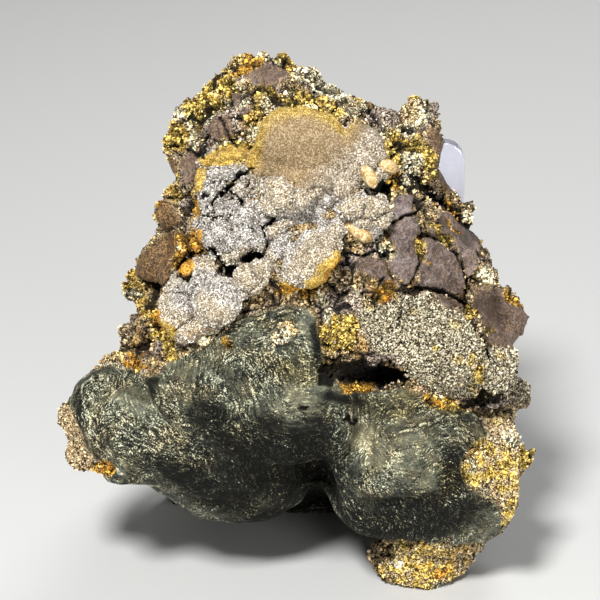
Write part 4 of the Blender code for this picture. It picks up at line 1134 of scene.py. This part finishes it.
def show_crystals(rock, zones, crust, crust_zones):
    """Grows the crystals that stand on the rock and on the crust."""
    weights = family_weights(read_points(rock), zones)
    shades = {name: zones[name] for name in PALETTE if name in PAINTED}
    for name, count, size, spread, seed in FAMILIES:
        grown = crystals_on(rock, shades, weights[name], count, size, spread, seed)
        show(name, grown, crystal_material(name, limonite_colour), smooth=False)
    top = np.arange(len(crust.vertices)) < len(crust.vertices) // 2
    bare = 1 - most(crust_zones, "dome", "mustard", "rust", "hollow")
    grown = crystals_on(crust, {}, top * (1 - 0.7 * crust_zones["low"]) * bare, *CRUST_CRYSTALS)
    show("crust_crystals", grown, crystal_material("crust_crystals", crust_crystal_colour, 0.2), smooth=False)


def show_rock(rock):
    """Parts the rock in three, shaded as one surface."""
    look = rock_material()
    keep_normals(rock)
    front = half_of(rock, BACK_SEAM, (0, 1, 0))
    parts = {
        "rock_base": half_of(front, TOP_SEAM, (0, 0, 1)),
        "rock_top": half_of(front, TOP_SEAM, (0, 0, -1)),
        "rock_back": half_of(rock, BACK_SEAM, (0, -1, 0)),
    }
    for name, part in parts.items():
        use_kept_normals(show(name, part, look).data)


def build_specimen():
    """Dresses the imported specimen: its rock, crust, rods and crystals."""
    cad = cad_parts["specimen"].data.copy()
    cad.transform(Matrix.Scale(1 / MM, 4))
    skin = with_modifiers(cad, ("REMESH", REMESHING), ("SMOOTH", SMOOTHING))
    crust, crust_zones = crust_mesh(skin)
    rock, zones = rock_mesh(skin)
    show_crystals(rock, zones, crust, crust_zones)
    knobs = knobs_on((crust, rock))
    for name, values in crust_zones.items():
        write_values(crust, name, values)
    for name in PAINTED:
        write_values(rock, name, zones[name])
    show("pale_crust", crust, crust_material())
    show("crust_knobs", knobs, knob_material())
    show_rock(rock)


# ---------------------------------------------------------------- the studio
FLOOR_REACH = 6
FLOOR_COLOUR = (0.52, 0.52, 0.51)
SKY_COLOUR = (0.94, 0.95, 0.97, 1)
SKY_STRENGTH = 0.17
# Soft lights: name, place from the view's middle in metres, size in metres, power in watts.
LIGHTS = (
    ("key", (-0.2, -0.52, 0.66), 0.2, 12.4),
    ("fill", (0.46, -0.7, 0.06), 0.4, 3.9),
    ("back", (0.25, 0.55, 0.6), 0.4, 3),
)
SENSOR_WIDTH = 36


def studio():
    """A pale floor, soft lights and the camera at the display view."""
    scene = bpy.context.scene
    scene.view_settings.view_transform = "Standard"
    scene.world = bpy.data.worlds.new("studio")
    scene.world.use_nodes = True
    background = scene.world.node_tree.nodes["Background"]
    background.inputs["Color"].default_value = SKY_COLOUR
    background.inputs["Strength"].default_value = SKY_STRENGTH
    corners = np.array([(-1, -1, 0), (1, -1, 0), (1, 1, 0), (-1, 1, 0)]) * FLOOR_REACH
    floor = add_object("floor", mesh_from(corners, np.array([[0, 1, 2, 3]])))
    floor.data.materials.append(Shader("floor").finish_with(Base_Color=FLOOR_COLOUR, Roughness=0.8))
    for name, place, size, power in LIGHTS:
        light = bpy.data.lights.new(name, "AREA")
        light.shape = "DISK"
        light.size = size
        light.energy = power
        lamp = add_object(name, light)
        lamp.location = Vector(MIDDLE * MM) + Vector(place)
        lamp.rotation_euler = Vector(place).to_track_quat("Z", "Y").to_euler()
    lens = bpy.data.cameras.new("camera")
    lens.sensor_width = SENSOR_WIDTH
    lens.lens = SENSOR_WIDTH * VIEW_DISTANCE / VIEW_WIDTH
    lens.clip_start = 0.01
    scene.camera = add_object("camera", lens)
    scene.camera.location = EYE * MM
    scene.camera.rotation_euler = (math.radians(90) - VIEW_ELEVATION, 0, 0)


build_specimen()
for material_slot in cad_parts["display_rest"].material_slots:
    material_slot.material = clear_plastic()
studio()
